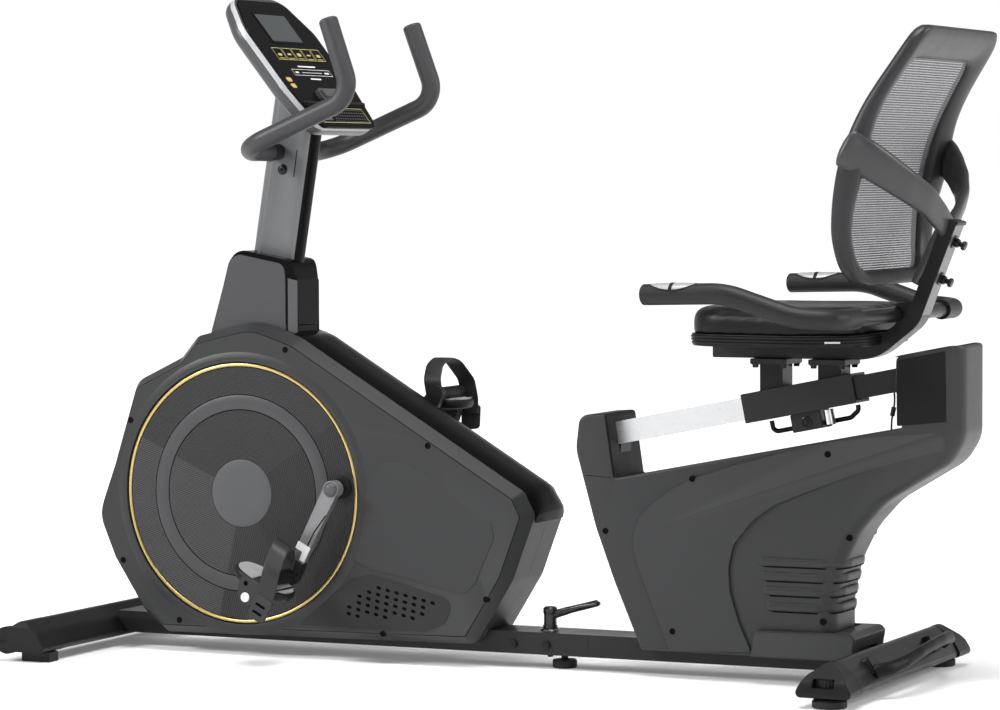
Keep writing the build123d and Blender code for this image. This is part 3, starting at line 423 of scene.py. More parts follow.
DISC_X, DISC_Z = -519.0, 287.0
CRANK_X, CRANK_Z = -320.0, 303.0
RAIL_TILT = math.radians(11.27)
M = {
    "housing": shade("housing", (0.027, 0.0275, 0.0285), 0.38, grain=0.10, grain_scale=2600, mottle=0.05,
                     wear_and_highlight=0.15, ior=1.4),
    "gloss_black": shade("gloss_black", (0.004, 0.004, 0.0045), 0.20, mottle=0.05, rough_vary=0.04, ior=1.16),
    "satin_plastic": shade("satin_plastic", (0.034, 0.0345, 0.036), 0.34, grain=0.10, mottle=0.05, wear_and_highlight=0.2),
    "black_plastic": shade("black_plastic", (0.007, 0.007, 0.0075), 0.40, grain=0.30, grain_scale=1600,
                           wear_and_highlight=0.3, ior=1.3),
    "white_plastic": shade("white_plastic", (0.70, 0.70, 0.68), 0.45, grain=0.05),
    "back_shell": shade("back_shell", (0.018, 0.018, 0.0195), 0.38, grain=0.20, grain_scale=1800, wear_and_highlight=0.25,
                        ior=1.42),
    "mesh": shade("mesh", (0.10, 0.10, 0.105), 0.62, grain=0.5, grain_scale=3000, mottle=0.2),
    "black_steel": shade("black_steel", (0.008, 0.008, 0.0088), 0.32, grain=0.16, grain_scale=2200, wear_and_highlight=0.3,
                         ior=1.33),
    "mast_paint": shade("mast_paint", (0.105, 0.107, 0.110), 0.36, metallic=0.4, grain=0.12, grain_scale=2600,
                        wear_and_highlight=0.2),
    "bright_steel": shade("bright_steel", (0.55, 0.55, 0.55), 0.28, metallic=1.0, grain=0.10, grain_scale=900,
                          mottle=0.08),
    "fastener": shade("fastener", (0.010, 0.010, 0.011), 0.35, metallic=0.6, grain=0.1, wear_and_highlight=0.5),
    "cast_iron": shade("cast_iron", (0.14, 0.14, 0.14), 0.5, metallic=0.9, grain=0.6, grain_scale=700),
    "crank": shade("crank", (0.17, 0.17, 0.174), 0.36, metallic=0.55, grain=0.14, grain_scale=2000, wear_and_highlight=0.3),
    "lever": shade("lever", (0.012, 0.012, 0.013), 0.28, grain=0.22, grain_scale=1500, coat=0.2, wear_and_highlight=0.4),
    "silver_plastic": shade("silver_plastic", (0.055, 0.056, 0.058), 0.38, metallic=0.3, grain=0.05,
                            mottle=0.04),
    "button": shade("button", (0.55, 0.38, 0.12), 0.4, metallic=0.2, grain=0.1),
    "foam": shade("foam", (0.031, 0.031, 0.033), 0.42, grain=0.5, grain_scale=1100, mottle=0.12,
                  bump_kind="cells"),
    "belt": shade("belt", (0.02, 0.02, 0.02), 0.7, grain=0.4),
    "rubber": shade("rubber", (0.011, 0.011, 0.012), 0.60, grain=0.35, grain_scale=1200),
    "strap": shade("strap", (0.016, 0.016, 0.017), 0.45, grain=0.3, grain_scale=1300, wear_and_highlight=0.3),
    "lead": shade("lead", (0.010, 0.010, 0.010), 0.45, grain=0.1),
    "chrome": shade("chrome", (0.85, 0.85, 0.86), 0.12, metallic=1.0, mottle=0.02, rough_vary=0.03,
                    grain=0.02),
    "aluminium": shade("aluminium", (0.60, 0.605, 0.615), 0.30, metallic=1.0, grain=0.35, grain_scale=160,
                       mottle=0.05,
                       stretch=((2, 30, 30), (0, RAIL_TILT, 0))),
    "leather": shade("leather", (0.004, 0.004, 0.0045), 0.36, grain=0.5, grain_scale=520, mottle=0.12,
                     bump_kind="cells", ior=1.33),
    "gold": shade("gold", (0.50, 0.38, 0.15), 0.30, metallic=0.8, grain=0.06, mottle=0.06),
}
M["disc"] = disc_material()
GAP_BLACK = shade("gap_black", (0.001, 0.001, 0.001), 0.8, grain=0.05, shine=0.1)
# Matt black standing for the shade inside openings: painted shade in the grille and buckle slots. The pedal
# plug uses it too.
HOLE_SHADE_BLACK = shade("hole_shade_black", (0.001, 0.001, 0.001), 0.85, grain=0.05, shine=0.05)
SMOOTH_GREY = shade("smooth_grey", (0.062, 0.063, 0.066), 0.42, grain=0.10, grain_scale=2400, mottle=0.04)
GRILLE = shade("grille_plastic", (0.019, 0.0192, 0.020), 0.46, grain=0.7, grain_scale=900, mottle=0.05,
               ior=1.4)
PULSE = shade("pulse_plate", (0.40, 0.40, 0.405), 0.30, metallic=0.4, mottle=0.03)
BAND_GREY = shade("band_grey", (0.042, 0.0425, 0.0445), 0.42, grain=0.10, grain_scale=2400, mottle=0.04)
MATT_BLACK = shade("matt_black", (0.004, 0.004, 0.0045), 0.5, grain=0.1, shine=0.15)
LIGHT_STRIP = shade("light_strip", (0.080, 0.081, 0.084), 0.35, metallic=0.2, grain=0.08, mottle=0.04)
SPECKLE = shade("speckle_grey", (0.30, 0.30, 0.305), 0.75, grain=0.9, grain_scale=1100, mottle=0.3,
                bump_kind="cells")
SCREEN = shade("screen", (0.040, 0.046, 0.046), 0.22, mottle=0.06, coat=0.4)
# Light grey for the band round the console's rim next to the face: a painted highlight along the face edge.
RIM_HIGHLIGHT = shade("rim_highlight", (0.34, 0.34, 0.35), 0.42, metallic=0.2, grain=0.05, mottle=0.03)
SEAT_FOAM = shade("seat_foam", (0.013, 0.013, 0.014), 0.45, grain=0.5, grain_scale=1100, mottle=0.12,
                  bump_kind="cells", ior=1.4)
BRACKET = shade("crank_bracket", (0.62, 0.62, 0.62), 0.35, metallic=0.2, grain=0.1, mottle=0.06)
PRINT_WHITE = shade("print_white", (0.62, 0.62, 0.62), 0.5, grain=0.05)
PRINT_GOLD = shade("print_gold", (0.40, 0.34, 0.13), 0.45, grain=0.05)
WHITE_CAP = shade("white_cap", (0.72, 0.72, 0.70), 0.35, grain=0.05)

for name, node in frame["nodes"].items():
    node.data.materials.clear()
    node.data.materials.append(M[SLOT_OF[name]])
frame["nodes"]["crank_axle"].data.materials[0] = M["black_steel"]


# ---- Front housing ----
def front_housing():
    for word, side in SIDES:
        def edge_line(e):
            normals = sorted(abs(f.normal.y) for f in e.link_faces)
            mid = (e.verts[0].co + e.verts[1].co) / 2
            off = math.hypot(mid.x - V(DISC_X, 0, 0).x, mid.z - DISC_Z / 1000)
            return normals[1] > 0.995 and 0.2 < normals[0] < 0.9 and abs(mid.y) > 0.0875 and off > 0.236
        refine(f"front_shell_{word}", 1.0, 2, line=edge_line, material=[M["housing"], GAP_BLACK])
        inner = [(-300, 176), (-252, 160), (-206, 153), (-104, 129), (-84, 129), (-66, 146), (-29, 228),
                 (-34, 250), (-120, 305), (-200, 352), (-250, 352), (-282, 280)]
        plate(f"inner_panel_{word}", inner, side, 87.6, 89.2, "chassis", M["housing"], 1.4,
              [10, 30, 30, 16, 12, 10, 14, 14, 40, 30, 30, 60], 3)
        inset = [(-412, 60), (-376, 88), (-340, 118), (-306, 146), (-264, 157), (-104, 116), (-124, 74),
                 (-160, 59)]
        plate(f"grille_{word}", inset, side, 87.7, 88.6, "chassis", GRILLE, 0.8,
              [4, 40, 40, 26, 30, 22, 22, 24], 2)
        slots(word, side)
        rim = [(231, -1), (231, 2.6), (232.5, 3.2), (240, 1.6), (247, 0.3), (249, -0.6)]
        ring_piece(f"disc_surround_{word}", V(DISC_X, side * FRONT_FACE, DISC_Z), side, rim,
                   M["housing"], 180)


def ring_piece(name, centre, side, profile, material, count=144, smooth=40):
    """Turned ring on a side face: profile of (radius, height)."""
    rings = []
    for i in range(count):
        a = 2 * math.pi * i / count
        out = Vector((math.cos(a), 0, math.sin(a)))
        rings.append([centre + out * r / 1000 + Vector((0, side * h / 1000, 0)) for r, h in profile])
    return loft(name, rings, "chassis", material, closed=True, smooth=smooth)


def slots(word, side):
    """Rows of slots in the grille, each a rounded bar of matt black that paints the shade inside the opening.
    """
    verts, faces = [], []
    for row, (first, last) in enumerate(((0, 6), (-1, 5), (-2, 5), (-2, 4), (-3, 1), (-3, -2))):
        for col in range(first, last + 1):
            x = -250 + 17.2 * col - 1.4 * row
            z = 132 - 3.6 * col - 11.6 * row
            start = len(verts)
            for i in range(14):
                a = 2 * math.pi * i / 14
                dx = math.copysign(1.5, math.cos(a)) + 2.8 * math.cos(a)
                verts.append(V(x + dx, side * 88.8, z + 2.9 * math.sin(a) - 0.2 * dx))
            faces.append(tuple(range(start, start + 14)))
    piece(f"slots_{word}", verts, faces, "chassis", HOLE_SHADE_BLACK)


def centre_strip():
    """Domed gloss cover down the rear slope, turning over the rear shoulder."""
    run = rounded([(-428, 0, 566), (-408, 0, 557), (12, 0, 305), (36, 0, 268), (33, 0, 252)], [20, 30, 20],
                  steps=10)
    run = resample(run, 60, closed=False)
    rings = []
    for i, at in enumerate(run):
        ahead = run[min(i + 1, 59)] - run[max(i - 1, 0)]
        out = Vector((-ahead.z, 0, ahead.x)).normalized()
        t = i / 59
        rise = min(1, 0.35 + t * 14) * min(1, 0.25 + (1 - t) * 9)
        ring = []
        for k in range(25):
            u = -1 + 2 * k / 24
            height = 8.2 * rise * (1 - abs(u) ** 3.2) + 0.4
            point = at + out * height
            ring.append(V(point.x, 59.5 * u * (1 - 0.05 * max(0, t - 0.93) / 0.07), point.z))
        under = at - out * 1.5
        ring += [V(under.x, 57, under.z), V(under.x, -57, under.z)]
        rings.append(ring)
    obj = loft("centre_strip_dome", rings, "chassis", M["gloss_black"], smooth=60)
    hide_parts("centre_strip")


def discs():
    for word, side in SIDES:
        centre = V(DISC_X, side * DISC_FACE, DISC_Z)
        lathe(f"disc_hub_{word}", centre, (0, side, 0),
              [(0, -1), (0, 0.9), (40, 0.8), (57.5, 0.7), (59, 0.1), (60.2, 0.02), (60.2, -1)],
              "chassis",
              SMOOTH_GREY, 96)
        ring_piece(f"disc_ring_{word}", centre, side, [(147.4, -1), (147.4, 0.3), (148.4, 0.7), (171, 0.7),
                                                       (172, 0.2), (172, -1)], BAND_GREY, 144, 30)
        for tag, radius in (("inner", 146.4), ("outer", 172.8)):
            ring_piece(f"disc_line_{tag}_{word}", centre, side, [(radius - 0.9, -1), (radius - 0.9, 0.12),
                                                                 (radius + 0.9, 0.12), (radius + 0.9, -1)],
                       GAP_BLACK, 144, 30)
        ring_piece(f"axle_cover_{word}", V(CRANK_X, side * DISC_FACE, CRANK_Z), side,
                   [(15, -5), (15, 0.1), (27.6, 0.1), (27.6, -5)], M["disc"], 64, 30)
        obj = ring_piece(f"gold_ring_{word}", V(DISC_X, side * 83.7, DISC_Z), side,
                         [(222.6, -2), (222.6, 3.6), (223.6, 5.0), (227.2, 5.0),
                                                             (228.6, 3.4), (228.6, -2)], M["gold"],
                         180, 60)
        if side < 0:
            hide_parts("trim_rings")


# ---- Crank and pedals ----
def along_crank(distance, turn=0.0):
    """Station on the left crank's line."""
    a = math.radians(242.5 + turn)
    return CRANK_X + distance * math.cos(a), CRANK_Z + distance * math.sin(a)


def cranks():
    refine("crank_arms", 1.8, 3)
    for (word, side), turn in zip(SIDES, (0, 180)):
        lathe(f"crank_cap_{word}", V(CRANK_X, side * ARM_FACE, CRANK_Z), (0, side, 0),
              [(0, -2), (13.4, -2), (13.4, 0.6), (12.6, 0.8), (12.0, 2.4), (10.0, 5.2), (7, 7.2), (3.5, 8.2),
               (0, 8.4)],
              "crank", SMOOTH_GREY, 40)
        start = Vector((CRANK_X, 0, CRANK_Z))
        tip = Vector((*along_crank(100, turn), 0))
        mid = Vector((tip.x - start.x, 0, tip.y - start.z)).normalized()
        across = Vector((-mid.z, 0, mid.x)) * (1 if side < 0 else -1)

        def on_arm(along, aside, out):
            at = start + mid * along + across * aside
            return V(at.x, side * out, at.z)

        sweep(f"crank_groove_{word}", [on_arm(44, 12.5, 132.2), on_arm(80, 6, 132.2), on_arm(118, 5, 132.2)],
              oval(2.2, 0.9, 8), "crank", GAP_BLACK, up=(0, 1, 0))
        shape = [(109, -13), (109, 13), (137, 13), (137, 3), (122, 2), (122, -13)]
        slab(f"crank_bracket_{word}", [on_arm(u, v, 131.8) for u, v in shape], Vector((0, side * 0.0032, 0)),
             "crank", BRACKET, 0.5)
        boot = rounded([(140, -15.5, 0), (140, 12.5, 0), (160, 14.5, 0), (186, 13, 0), (186, -13, 0),
                        (160, -16, 0)],
                       [4, 2, 10, 10, 10, 10], closed=True, steps=4)
        slab(f"crank_boot_{word}", [on_arm(p.x, p.y, 117) for p in boot], Vector((0, side * 0.0166, 0)),
             "crank", M["black_plastic"], 2.5, 3)


def pedal(word, side, body, tilt, centre):
    """Pedal on its spindle: oval platform with grey treads, weight with its end cap, toe strap and buckle."""
    turn = Matrix.Rotation(math.radians(-tilt), 4, "Y")

    def place(x, y, z):
        local = turn @ Vector((x, 0, z))
        return V(centre[0] + local.x, side * y, centre[1] + local.z)

    near, far = 139.0, 227.0
    mid = (near + far) / 2
    outline = [(-18 + 57 * math.copysign(abs(math.cos(a)) ** 0.8, math.cos(a)),
                mid + 42 * math.copysign(abs(math.sin(a)) ** 0.8, math.sin(a)))
               for a in [2 * math.pi * i / 72 for i in range(72)]]
    levels = [(-27, 0.90), (-25.5, 0.96), (-20, 1.0), (-15, 1.0), (-11.6, 0.985), (-10.4, 0.95)]
    rings = [[place(-18 + (x + 18) * s, mid + (y - mid) * s, z) for x, y in outline] for z, s in levels]
    shell = loft(f"pedal_body_{word}", rings, body, M["black_plastic"])
    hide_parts(f"pedal_{word}")
    for tag, low, high in (("front", -80, -24), ("middle", 8, 19), ("rear", 24, 46)):
        ring = [(max(low, min(high, -18 + (x + 18) * 0.92)), mid + (y - mid) * 0.9) for x, y in outline]
        kept = [p for i, p in enumerate(ring) if p != ring[i - 1]]
        slab(f"pedal_tread_{tag}_{word}", [place(x, y, -10.7) for x, y in kept],
             place(0, mid, 2.1) - place(0, mid, 0),
             body, SPECKLE, 0.8)
    lathe(f"pedal_barrel_{word}", place(0, near - 3.5, 0), (0, side, 0),
          [(0, 0), (10, 0), (12.4, 3), (12.4, 84), (11.0, 88), (0, 88.4)], body,
          M["black_plastic"], 32)
    weight = rounded([(-46, 0, -12), (-2, 0, -8), (4, 0, -34), (-5, 0, -58), (-28, 0, -60), (-41, 0, -36)],
                     [10, 8, 14, 12, 12, 14], closed=True, steps=5)
    slab(f"pedal_weight_{word}", [place(p.x, far - 26, p.z) for p in weight], Vector((0, side * 0.0262, 0)),
         body, M["strap"], 3, 3)
    lathe(f"pedal_cap_{word}", place(-19, far, -44), (0, side, 0),
          [(0, -1), (8.2, -1), (8.2, 1.2), (7.4, 2.2), (3.2, 2.4), (3.0, 1.4), (0, 1.4)],
          body,
          WHITE_CAP, 32, 30)
    lathe(f"pedal_plug_{word}", place(-29, far, -22), (0, side, 0),
          [(0, -1), (4.6, -1), (4.2, 0.5), (0, 0.8)],
          body, HOLE_SHADE_BLACK, 24)
    route = rounded([(16, far + 2, -38), (14, far + 5, -10), (7, far + 6, 22), (-8, far - 18, 56),
                     (-16, mid, 64), (-19, near + 18, 50), (-16, near + 1, 26), (-12, near + 2, 0)],
                    [20, 20, 28, 28, 28, 22], steps=6)
    route = [place(p.x, p.y, p.z) for p in resample(route, 46, closed=False)]
    strap = strip(f"toe_strap_{word}", route, turn @ Vector((1, 0, 0)), 17, 1.4, body, M["strap"])
    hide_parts(f"pedal_strap_{word}")
    box = rounded([(-2, 0, -70), (34, 0, -66), (36, 0, -24), (-2, 0, -24)], [12, 8, 5, 5], closed=True,
                  steps=4)
    slab(f"strap_buckle_{word}", [place(p.x, far + 3.4, p.z) for p in box],
         Vector((0, side * 0.0034, 0)), body, M["strap"], 1.4, 3)
    # Black bars on the buckle: painted shade in its slots.
    for k, z in enumerate((-40, -54)):
        hole = rounded([(6, 0, z - 2.4), (26, 0, z - 2.4), (26, 0, z + 2.4), (6, 0, z + 2.4)], 2, closed=True,
                       steps=3)
        slab(f"buckle_slot_{k}_{word}", [place(p.x, far + 6.5, p.z) for p in hole],
             Vector((0, side * 0.0005, 0)), body, HOLE_SHADE_BLACK, 0.1)


def strip(name, path, wide, half, thick, body, material):
    """Flat band: half is half its width along wide, thick is half its thickness, with rounded edges."""
    wide = Vector(wide).normalized()
    rings = []
    count = len(path)
    for i, at in enumerate(path):
        run = (path[min(i + 1, count - 1)] - path[max(i - 1, 0)]).normalized()
        out = run.cross(wide).normalized()
        rings.append([at + wide * a / 1000 + out * b / 1000 for a, b in oval(half * 2, thick * 2, 16, 5)])
    return loft(name, rings, body, material, smooth=60)


# ---- Upright: mast, boot, handlebar, console ----
def upright():
    refine("mast", 0.6, 2, paint=lambda f: f.normal.x > 0.55, material=[M["mast_paint"], M["gloss_black"]])
    refine("mast_cover", 2.0, 3, material=M["gloss_black"])
    skirt = [(-590, -46), (-584, -49), (-448, -49), (-432, -37), (-432, 37), (-448, 49), (-584, 49),
             (-590, 46)]
    slab("boot_skirt", [V(x, y, 535) for x, y in skirt], Vector((0, 0, 0.062)), "chassis",
         M["gloss_black"], 0)
    for word, side in SIDES:
        flank = [(-600, 556), (-594.5, 576), (-573.5, 645), (-556, 709), (-449, 688.5), (-446.6, 662),
                 (-446.6, 556)]
        plate(f"boot_flank_{word}", flank, side, 51.0, 53.4, "chassis", BAND_GREY, 1.6,
              [0, 20, 60, 26, 22, 20, 0], 3)
        verts = []
        for low, high in ((0.10, 0), (0.10, 1), (0.90, 1), (0.90, 0)):
            x = -446 + 16 * low
            verts.append(V(x + 0.5, side * (52 - 14 * low + 0.5), 560 if not high else 664 - 6 * low))
        slab(f"boot_strip_{word}", verts, Vector((0.0008, side * 0.0009, 0)), "chassis",
             LIGHT_STRIP, 0.3)
        sweep(f"mast_slot_{word}", [V(-439, side * 22.2, 887), V(-446, side * 22.2, 840)], oval(1.6, 0.8, 8),
              "chassis", GAP_BLACK, up=(0, 1, 0))
        lathe(f"mast_screw_{word}", V(-468, side * 21.6, 853), (0, side, 0),
              [(0, 0), (9.5, 0), (9.5, 1.0), (7.6, 1.6), (7.4, 0.9), (6.4, 0.9), (6.4, 2.6), (5.4, 3.2),
               (2.6, 3.2),
               (2.6, 1.2), (0, 1.2)], "chassis", M["fastener"], 28)


def tube_end(name, end, inward, radius, body, material, length=6.0):
    """Rounded closed tip on a foam grip."""
    axis = (Vector(end) - Vector(inward)).normalized()
    profile = [(radius * 0.9, -1.5), (radius, -1.0), (radius * 0.995, length * 0.15),
               (radius * 0.95, length * 0.45),
               (radius * 0.80, length * 0.78), (radius * 0.5, length * 0.95), (0, length)]
    lathe(name, V(*end), axis, profile, body, material, 32, 80)


def handlebar():
    grip = refine("handlebar_foam", 0.6, 2, smooth=60)
    for word, side in SIDES:
        tube_end(f"bar_tip_{word}", (-303, side * 160, 1104), (-257, side * 164, 975), 16.5,
                 "chassis",
                 M["foam"])
        lathe(f"bar_collar_{word}", V(-478, side * 52, 884), (0, side, 0),
              [(12.4, -4), (15.6, -4), (16.9, -3), (16.9, 1.6), (15.9, 2.2), (12.4, 2.2)], "chassis",
              M["black_plastic"], 36)
    sweep("bar_clamp_wrap", [V(-478, -50, 884), V(-478, -26, 884), V(-478, 26, 884), V(-478, 50, 884)],
          oval(30, 30, 24, 2), "chassis", M["black_steel"])


CONSOLE_FOOT = Vector((-347.6, 0, 926.3))
CONSOLE_UP, CONSOLE_OUT = Vector((-0.625, 0, 0.78)), Vector((0.78, 0, 0.625))


def on_console(up, across, lift=0.0):
    """Point on the console's face: up it, across it, above it."""
    at = CONSOLE_FOOT + CONSOLE_UP.normalized() * up + CONSOLE_OUT.normalized() * lift
    return V(at.x, across, at.z)


def face_slab(name, points, low, high, material, radius=3.0, bevel=0.4, steps=4):
    """Raised patch on the console's face."""
    ring = rounded([(u, a, 0) for u, a in points], radius, closed=True, steps=steps)
    rise = on_console(0, 0, high) - on_console(0, 0, low)
    return slab(name, [on_console(p.x, p.y, low) for p in ring], rise, "chassis", material, bevel)


def rectangle(u0, u1, a0, a1):
    return [(u0, a0), (u0, a1), (u1, a1), (u1, a0)]


def face_frame(name, u0, u1, a0, a1, line, lift, material):
    """Thin printed outline on the console's face."""
    verts, faces = [], []
    for grow in (0, line):
        for u, a in ((u0 + grow, a0 + grow), (u0 + grow, a1 - grow), (u1 - grow, a1 - grow),
                     (u1 - grow, a0 + grow)):
            verts.append(on_console(u, a, lift))
    for k in range(4):
        j = (k + 1) % 4
        faces.append((k, j, 4 + j, 4 + k))
    return piece(name, verts, faces, "chassis", material)


def console():
    rings = []
    for inset, lift in ((22, -34), (15, -33.6), (9, -31.5), (4, -27.5), (1.2, -22), (0, -15), (0, -10.6),
                        (0, -10),
                        (0, -2.6), (0.8, -1.2), (2.4, -0.6)):
        top, wide = 294 - inset, 128 - inset
        left = [(inset, -110 + inset), (90, -wide), (220, -wide), (top, -88 + inset)]
        edge = rounded([(u, a, 0) for u, a in left] + [(u, -a, 0) for u, a in reversed(left)],
                       [r - inset for r in (34, 90, 80, 52, 52, 80, 90, 34)], closed=True)
        rings.append([on_console(p.x, p.y, lift) for p in edge])
    obj = loft("console_shell", rings, "chassis", [M["silver_plastic"], RIM_HIGHLIGHT],
               smooth=50)
    origin, out = on_console(0, 0), on_console(0, 0, 1000) - on_console(0, 0)
    # Faces of the rim band just behind the face take the light grey: a painted highlight.
    for face in obj.data.polygons:
        if -10.3 < (face.center - origin) @ out * 1000 < -1.5:
            face.material_index = 1
    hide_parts("console_back")
    refine("console_face", 1.4, 3)
    face_slab("screen_bezel", rectangle(186, 257, -63, 57), 1.8, 2.5, M["gloss_black"], 4)
    face_slab("screen_glass", rectangle(191, 252, -58, 52), 2.2, 2.9, SCREEN, 2)
    for k in range(5):
        a = -84 + k * 35.5
        face_frame(f"icon_box_{k}", 149, 176, a, a + 32, 1.2, 2.12, PRINT_GOLD)
        face_slab(f"icon_mark_{k}", rectangle(158 + (k % 2) * 2, 163 + (k % 3), a + 9, a + 23), 2.0, 2.2,
                  PRINT_GOLD, 2, 0.05)
        face_slab(f"icon_foot_{k}", rectangle(152, 153.4, a + 6, a + 26), 2.0, 2.2, PRINT_GOLD, 0.5,
                  0.05)
    face_frame("label_frame", 114, 128, -66, 74, 0.9, 2.12, PRINT_WHITE)
    for k, (u0, u1, a0,
            a1) in enumerate(((120.2, 121.2, -34, 40), (119, 122.5, -58, -46), (119, 122.5, 50, 66),
                                          (133, 136, -34, 30), (105, 108, -18, 20))):
        face_slab(f"label_mark_{k}", rectangle(u0, u1, a0, a1), 2.0, 2.15, PRINT_WHITE, 0.4,
                  0.05)
    for word, up in (("upper", 103), ("lower", 89)):
        ring = rounded([(up - 4.8, -110, 0), (up + 4.8, -110, 0), (up + 4.8, -95, 0), (up - 4.8, -95, 0)], 2,
                       closed=True)
        rise = on_console(0, 0, 3.3) - on_console(0, 0, 1.0)
        key = slab(f"button_{word}_key", [on_console(p.x, p.y, 1.0) for p in ring], rise,
                   f"{word}_button",
                   M["button"], 0.6, 3)
        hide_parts(f"button_{word}")
    ledge()
    face_frame("key_frame", 8, 41, -86, 92, 1.2, 2.12, PRINT_GOLD)
    verts, faces = [], []
    for row in range(5):
        for col in range(14):
            u, a = 11 + row * 6.4, -34 + col * 9 + (row % 2) * 4.5
            start = len(verts)
            verts += [on_console(u + 1.9 * math.cos(t), a + 1.9 * math.sin(t), 2.14)
                      for t in [2 * math.pi * i / 10 for i in range(10)]]
            faces.append(tuple(range(start, start + 10)))
    piece("speaker_dots", verts, faces, "chassis", SMOOTH_GREY)
    for k in range(3):
        face_slab(f"key_{k}", rectangle(13 + k * 9, 19 + k * 9, -78, -46), 2.0, 3.0,
                  SMOOTH_GREY, 2)


def ledge():
    """Holder lip that stands out of the lower face, with a wing to each side."""
    face_slab("holder_wings", rectangle(44, 54, -112, 112), 1.6, 7.0, M["black_plastic"], 4.5,
              2.4, 4)
    face_slab("holder_block", rectangle(54, 80, -40, 68), 1.6, 14.0, SMOOTH_GREY, 9, 5, 5)


# ---- Beam, stabilisers, levellers, carry handle, clamp ----
def ground_gear():
    refine("front_frame", 2.0, 3)
    refine("rear_frame", 2.0, 3)
    refine("frame_bolts", 0.8, 2)
    refine("foot_pads", 1.5, 2)
    refine("front_stabiliser", 1.2, 2)
    refine("rear_stabiliser", 1.2, 2)
    refine("front_end_caps", 4.0, 4, angle=26)
    refine("rear_end_caps", 4.0, 4, angle=26)
    for word, side in SIDES:
        lathe(f"wheel_hub_{word}", V(-866, side * 310, 36.5), (0, side, 0),
              [(4.2, -19), (8, -19), (8, -0.5), (14, -0.2), (17, -1.4), (17, -18), (4.2, -18.5)],
              f"{word}_transport_wheel", M["black_plastic"], 40)
        teeth = []
        for k in range(96):
            a = 2 * math.pi * k / 96
            r = 22.9 if k % 4 < 2 else 21.4
            teeth.append(V(640 + r * math.cos(a), side * 274 + r * math.sin(a), 34.6))
        wheel = slab(f"leveller_wheel_{word}", teeth, Vector((0, 0, 0.0128)), f"{word}_leveller",
                     M["rubber"], 0.4, 1)
        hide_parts(f"leveller_{word}")
        lathe(f"leveller_foot_{word}", V(640, side * 274, 0), (0, 0, 1),
              [(0, 0), (26, 0), (28, 2), (28, 11), (25, 14.5), (12, 16.2), (6.0, 16.4), (6.0, 34.8),
               (0, 34.8)],
              f"{word}_leveller", M["rubber"], 48)
    carry = [(680, -164, 46), (698, -146, 50), (711, -112, 57), (717, -60, 66), (718, 0, 71), (717, 60, 73),
             (713, 112, 72), (700, 144, 66), (684, 160, 56)]
    path = resample(rounded(carry, 40, steps=6), 60, closed=False)
    obj = sweep("carry_grip", [V(*p) for p in path], oval(14, 20, 20, 2.3), "chassis",
                M["black_plastic"], up=(-0.5, 0, 0.86), size=lambda t: (1, 1.2 - 0.3 * math.sin(math.pi * t)),
                tips=6)
    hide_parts("carry_handle")
    for word, side in SIDES:
        foot = rounded([(-20, -16, 0), (20, -16, 0), (20, 16, 0), (-20, 16, 0)], 7, closed=True, steps=4)
        base = V(662, side * 152, 50)
        out = Vector((0.85, 0, 0.53)).normalized()
        acr = Vector((0, 1, 0))
        upv = out.cross(acr)
        ring = [base + acr * p.x / 1000 + upv * p.y / 1000 for p in foot]
        slab(f"carry_foot_{word}", ring, out * 0.014, "chassis", M["black_plastic"], 3, 3)


def clamp():
    refine("clamp_lever", 0.8, 2)
    path = resample(rounded([(38, 0, 90), (60, 0, 97), (92, 0, 106), (122, 0, 112)], [30, 60], steps=6), 30,
                    closed=False)
    sweep("clamp_arm", [V(*p) for p in path], oval(12, 10, 18, 2.3), "clamp_lever", M["lever"],
          size=lambda t: (0.95 + 0.75 * max(0, t - 0.35), 1.25 - 0.35 * t), tips=5)
    lathe("clamp_washer", V(34, 0, 63), (0, 0, 1), [(7, 0), (17, 0), (17, 1.4), (15.5, 2.6), (7, 2.6)],
          "chassis", M["bright_steel"], 40)
    lathe("clamp_collar", V(34, 0, 66.5), (0, 0, 1),
          [(5.2, 0), (12.5, 0), (12.5, 5), (10.5, 6), (10.5, 24), (12, 26), (12, 34), (9, 37), (0, 37.5)],
          "clamp_lever", M["lever"], 40)


# ---- Screws of the covers ----
def screws():
    """Black heads of the cover screws, flush with the skin they hold."""
    first = None
    for word, side in SIDES:
        heads = [(x, FRONT_FACE, z, (0, side, 0)) for x, z in FRONT_SCREWS] + [(x, y, z, (0, side, 0)) for x,
                                                                               y, z in REAR_SCREWS]
        heads.append((598.5, 62.4, 248, (0.62, side * 0.78, 0)))
        for k, (x, y, z, axis) in enumerate(heads):
            obj = lathe(f"screw_{word}_{k}", V(x, side * y, z), axis,
                        [(0, -5.6), (5.4, -5.6), (5.4, 0.5), (4.6, 0.9), (2.4, 0.8), (2.2, 0.1), (0, 0.1)],
                        "chassis", GAP_BLACK, 24, 30)
            first = first or obj
    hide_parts("shell_screws")


# ---- Rear housing ----
FRONT_SCREWS = [(-430, 540), (-742, 410), (-760, 160), (-646, 58), (-155, 380), (-46, 121), (-243, 53)]
REAR_SCREWS = [(325, 71.0, 337), (562, 68.0, 384), (289, 71.0, 81), (553, 66.0, 109), (166, 66.0, 244)]
GROOVE_ONE = [(284, 47), (262, 100), (241, 151), (226, 188), (217, 220), (219, 243), (230, 272), (257, 297),
              (290, 320), (325, 337), (400, 362), (480, 384), (562, 404)]
GROOVE_TWO = [(429, 53), (407, 102), (392, 150), (389, 190), (398, 230), (432, 271), (470, 298), (511, 315),
              (570, 338), (632, 360), (700, 380), (768, 397)]
REAR_SIDE = [(118, 438), (111, 380), (147, 250), (182, 157), (230, 46), (570, 46), (570, 135), (583, 200),
             (612, 258),
             (655, 306), (765, 372), (790, 412), (790, 566), (678, 544), (676, 498), (688, 430), (182, 333),
             (166, 441)]
REAR_RADII = [18, 60, 200, 200, 6, 6, 60, 120, 120, 120, 70, 60, 5, 6, 30, 3, 3, 6]


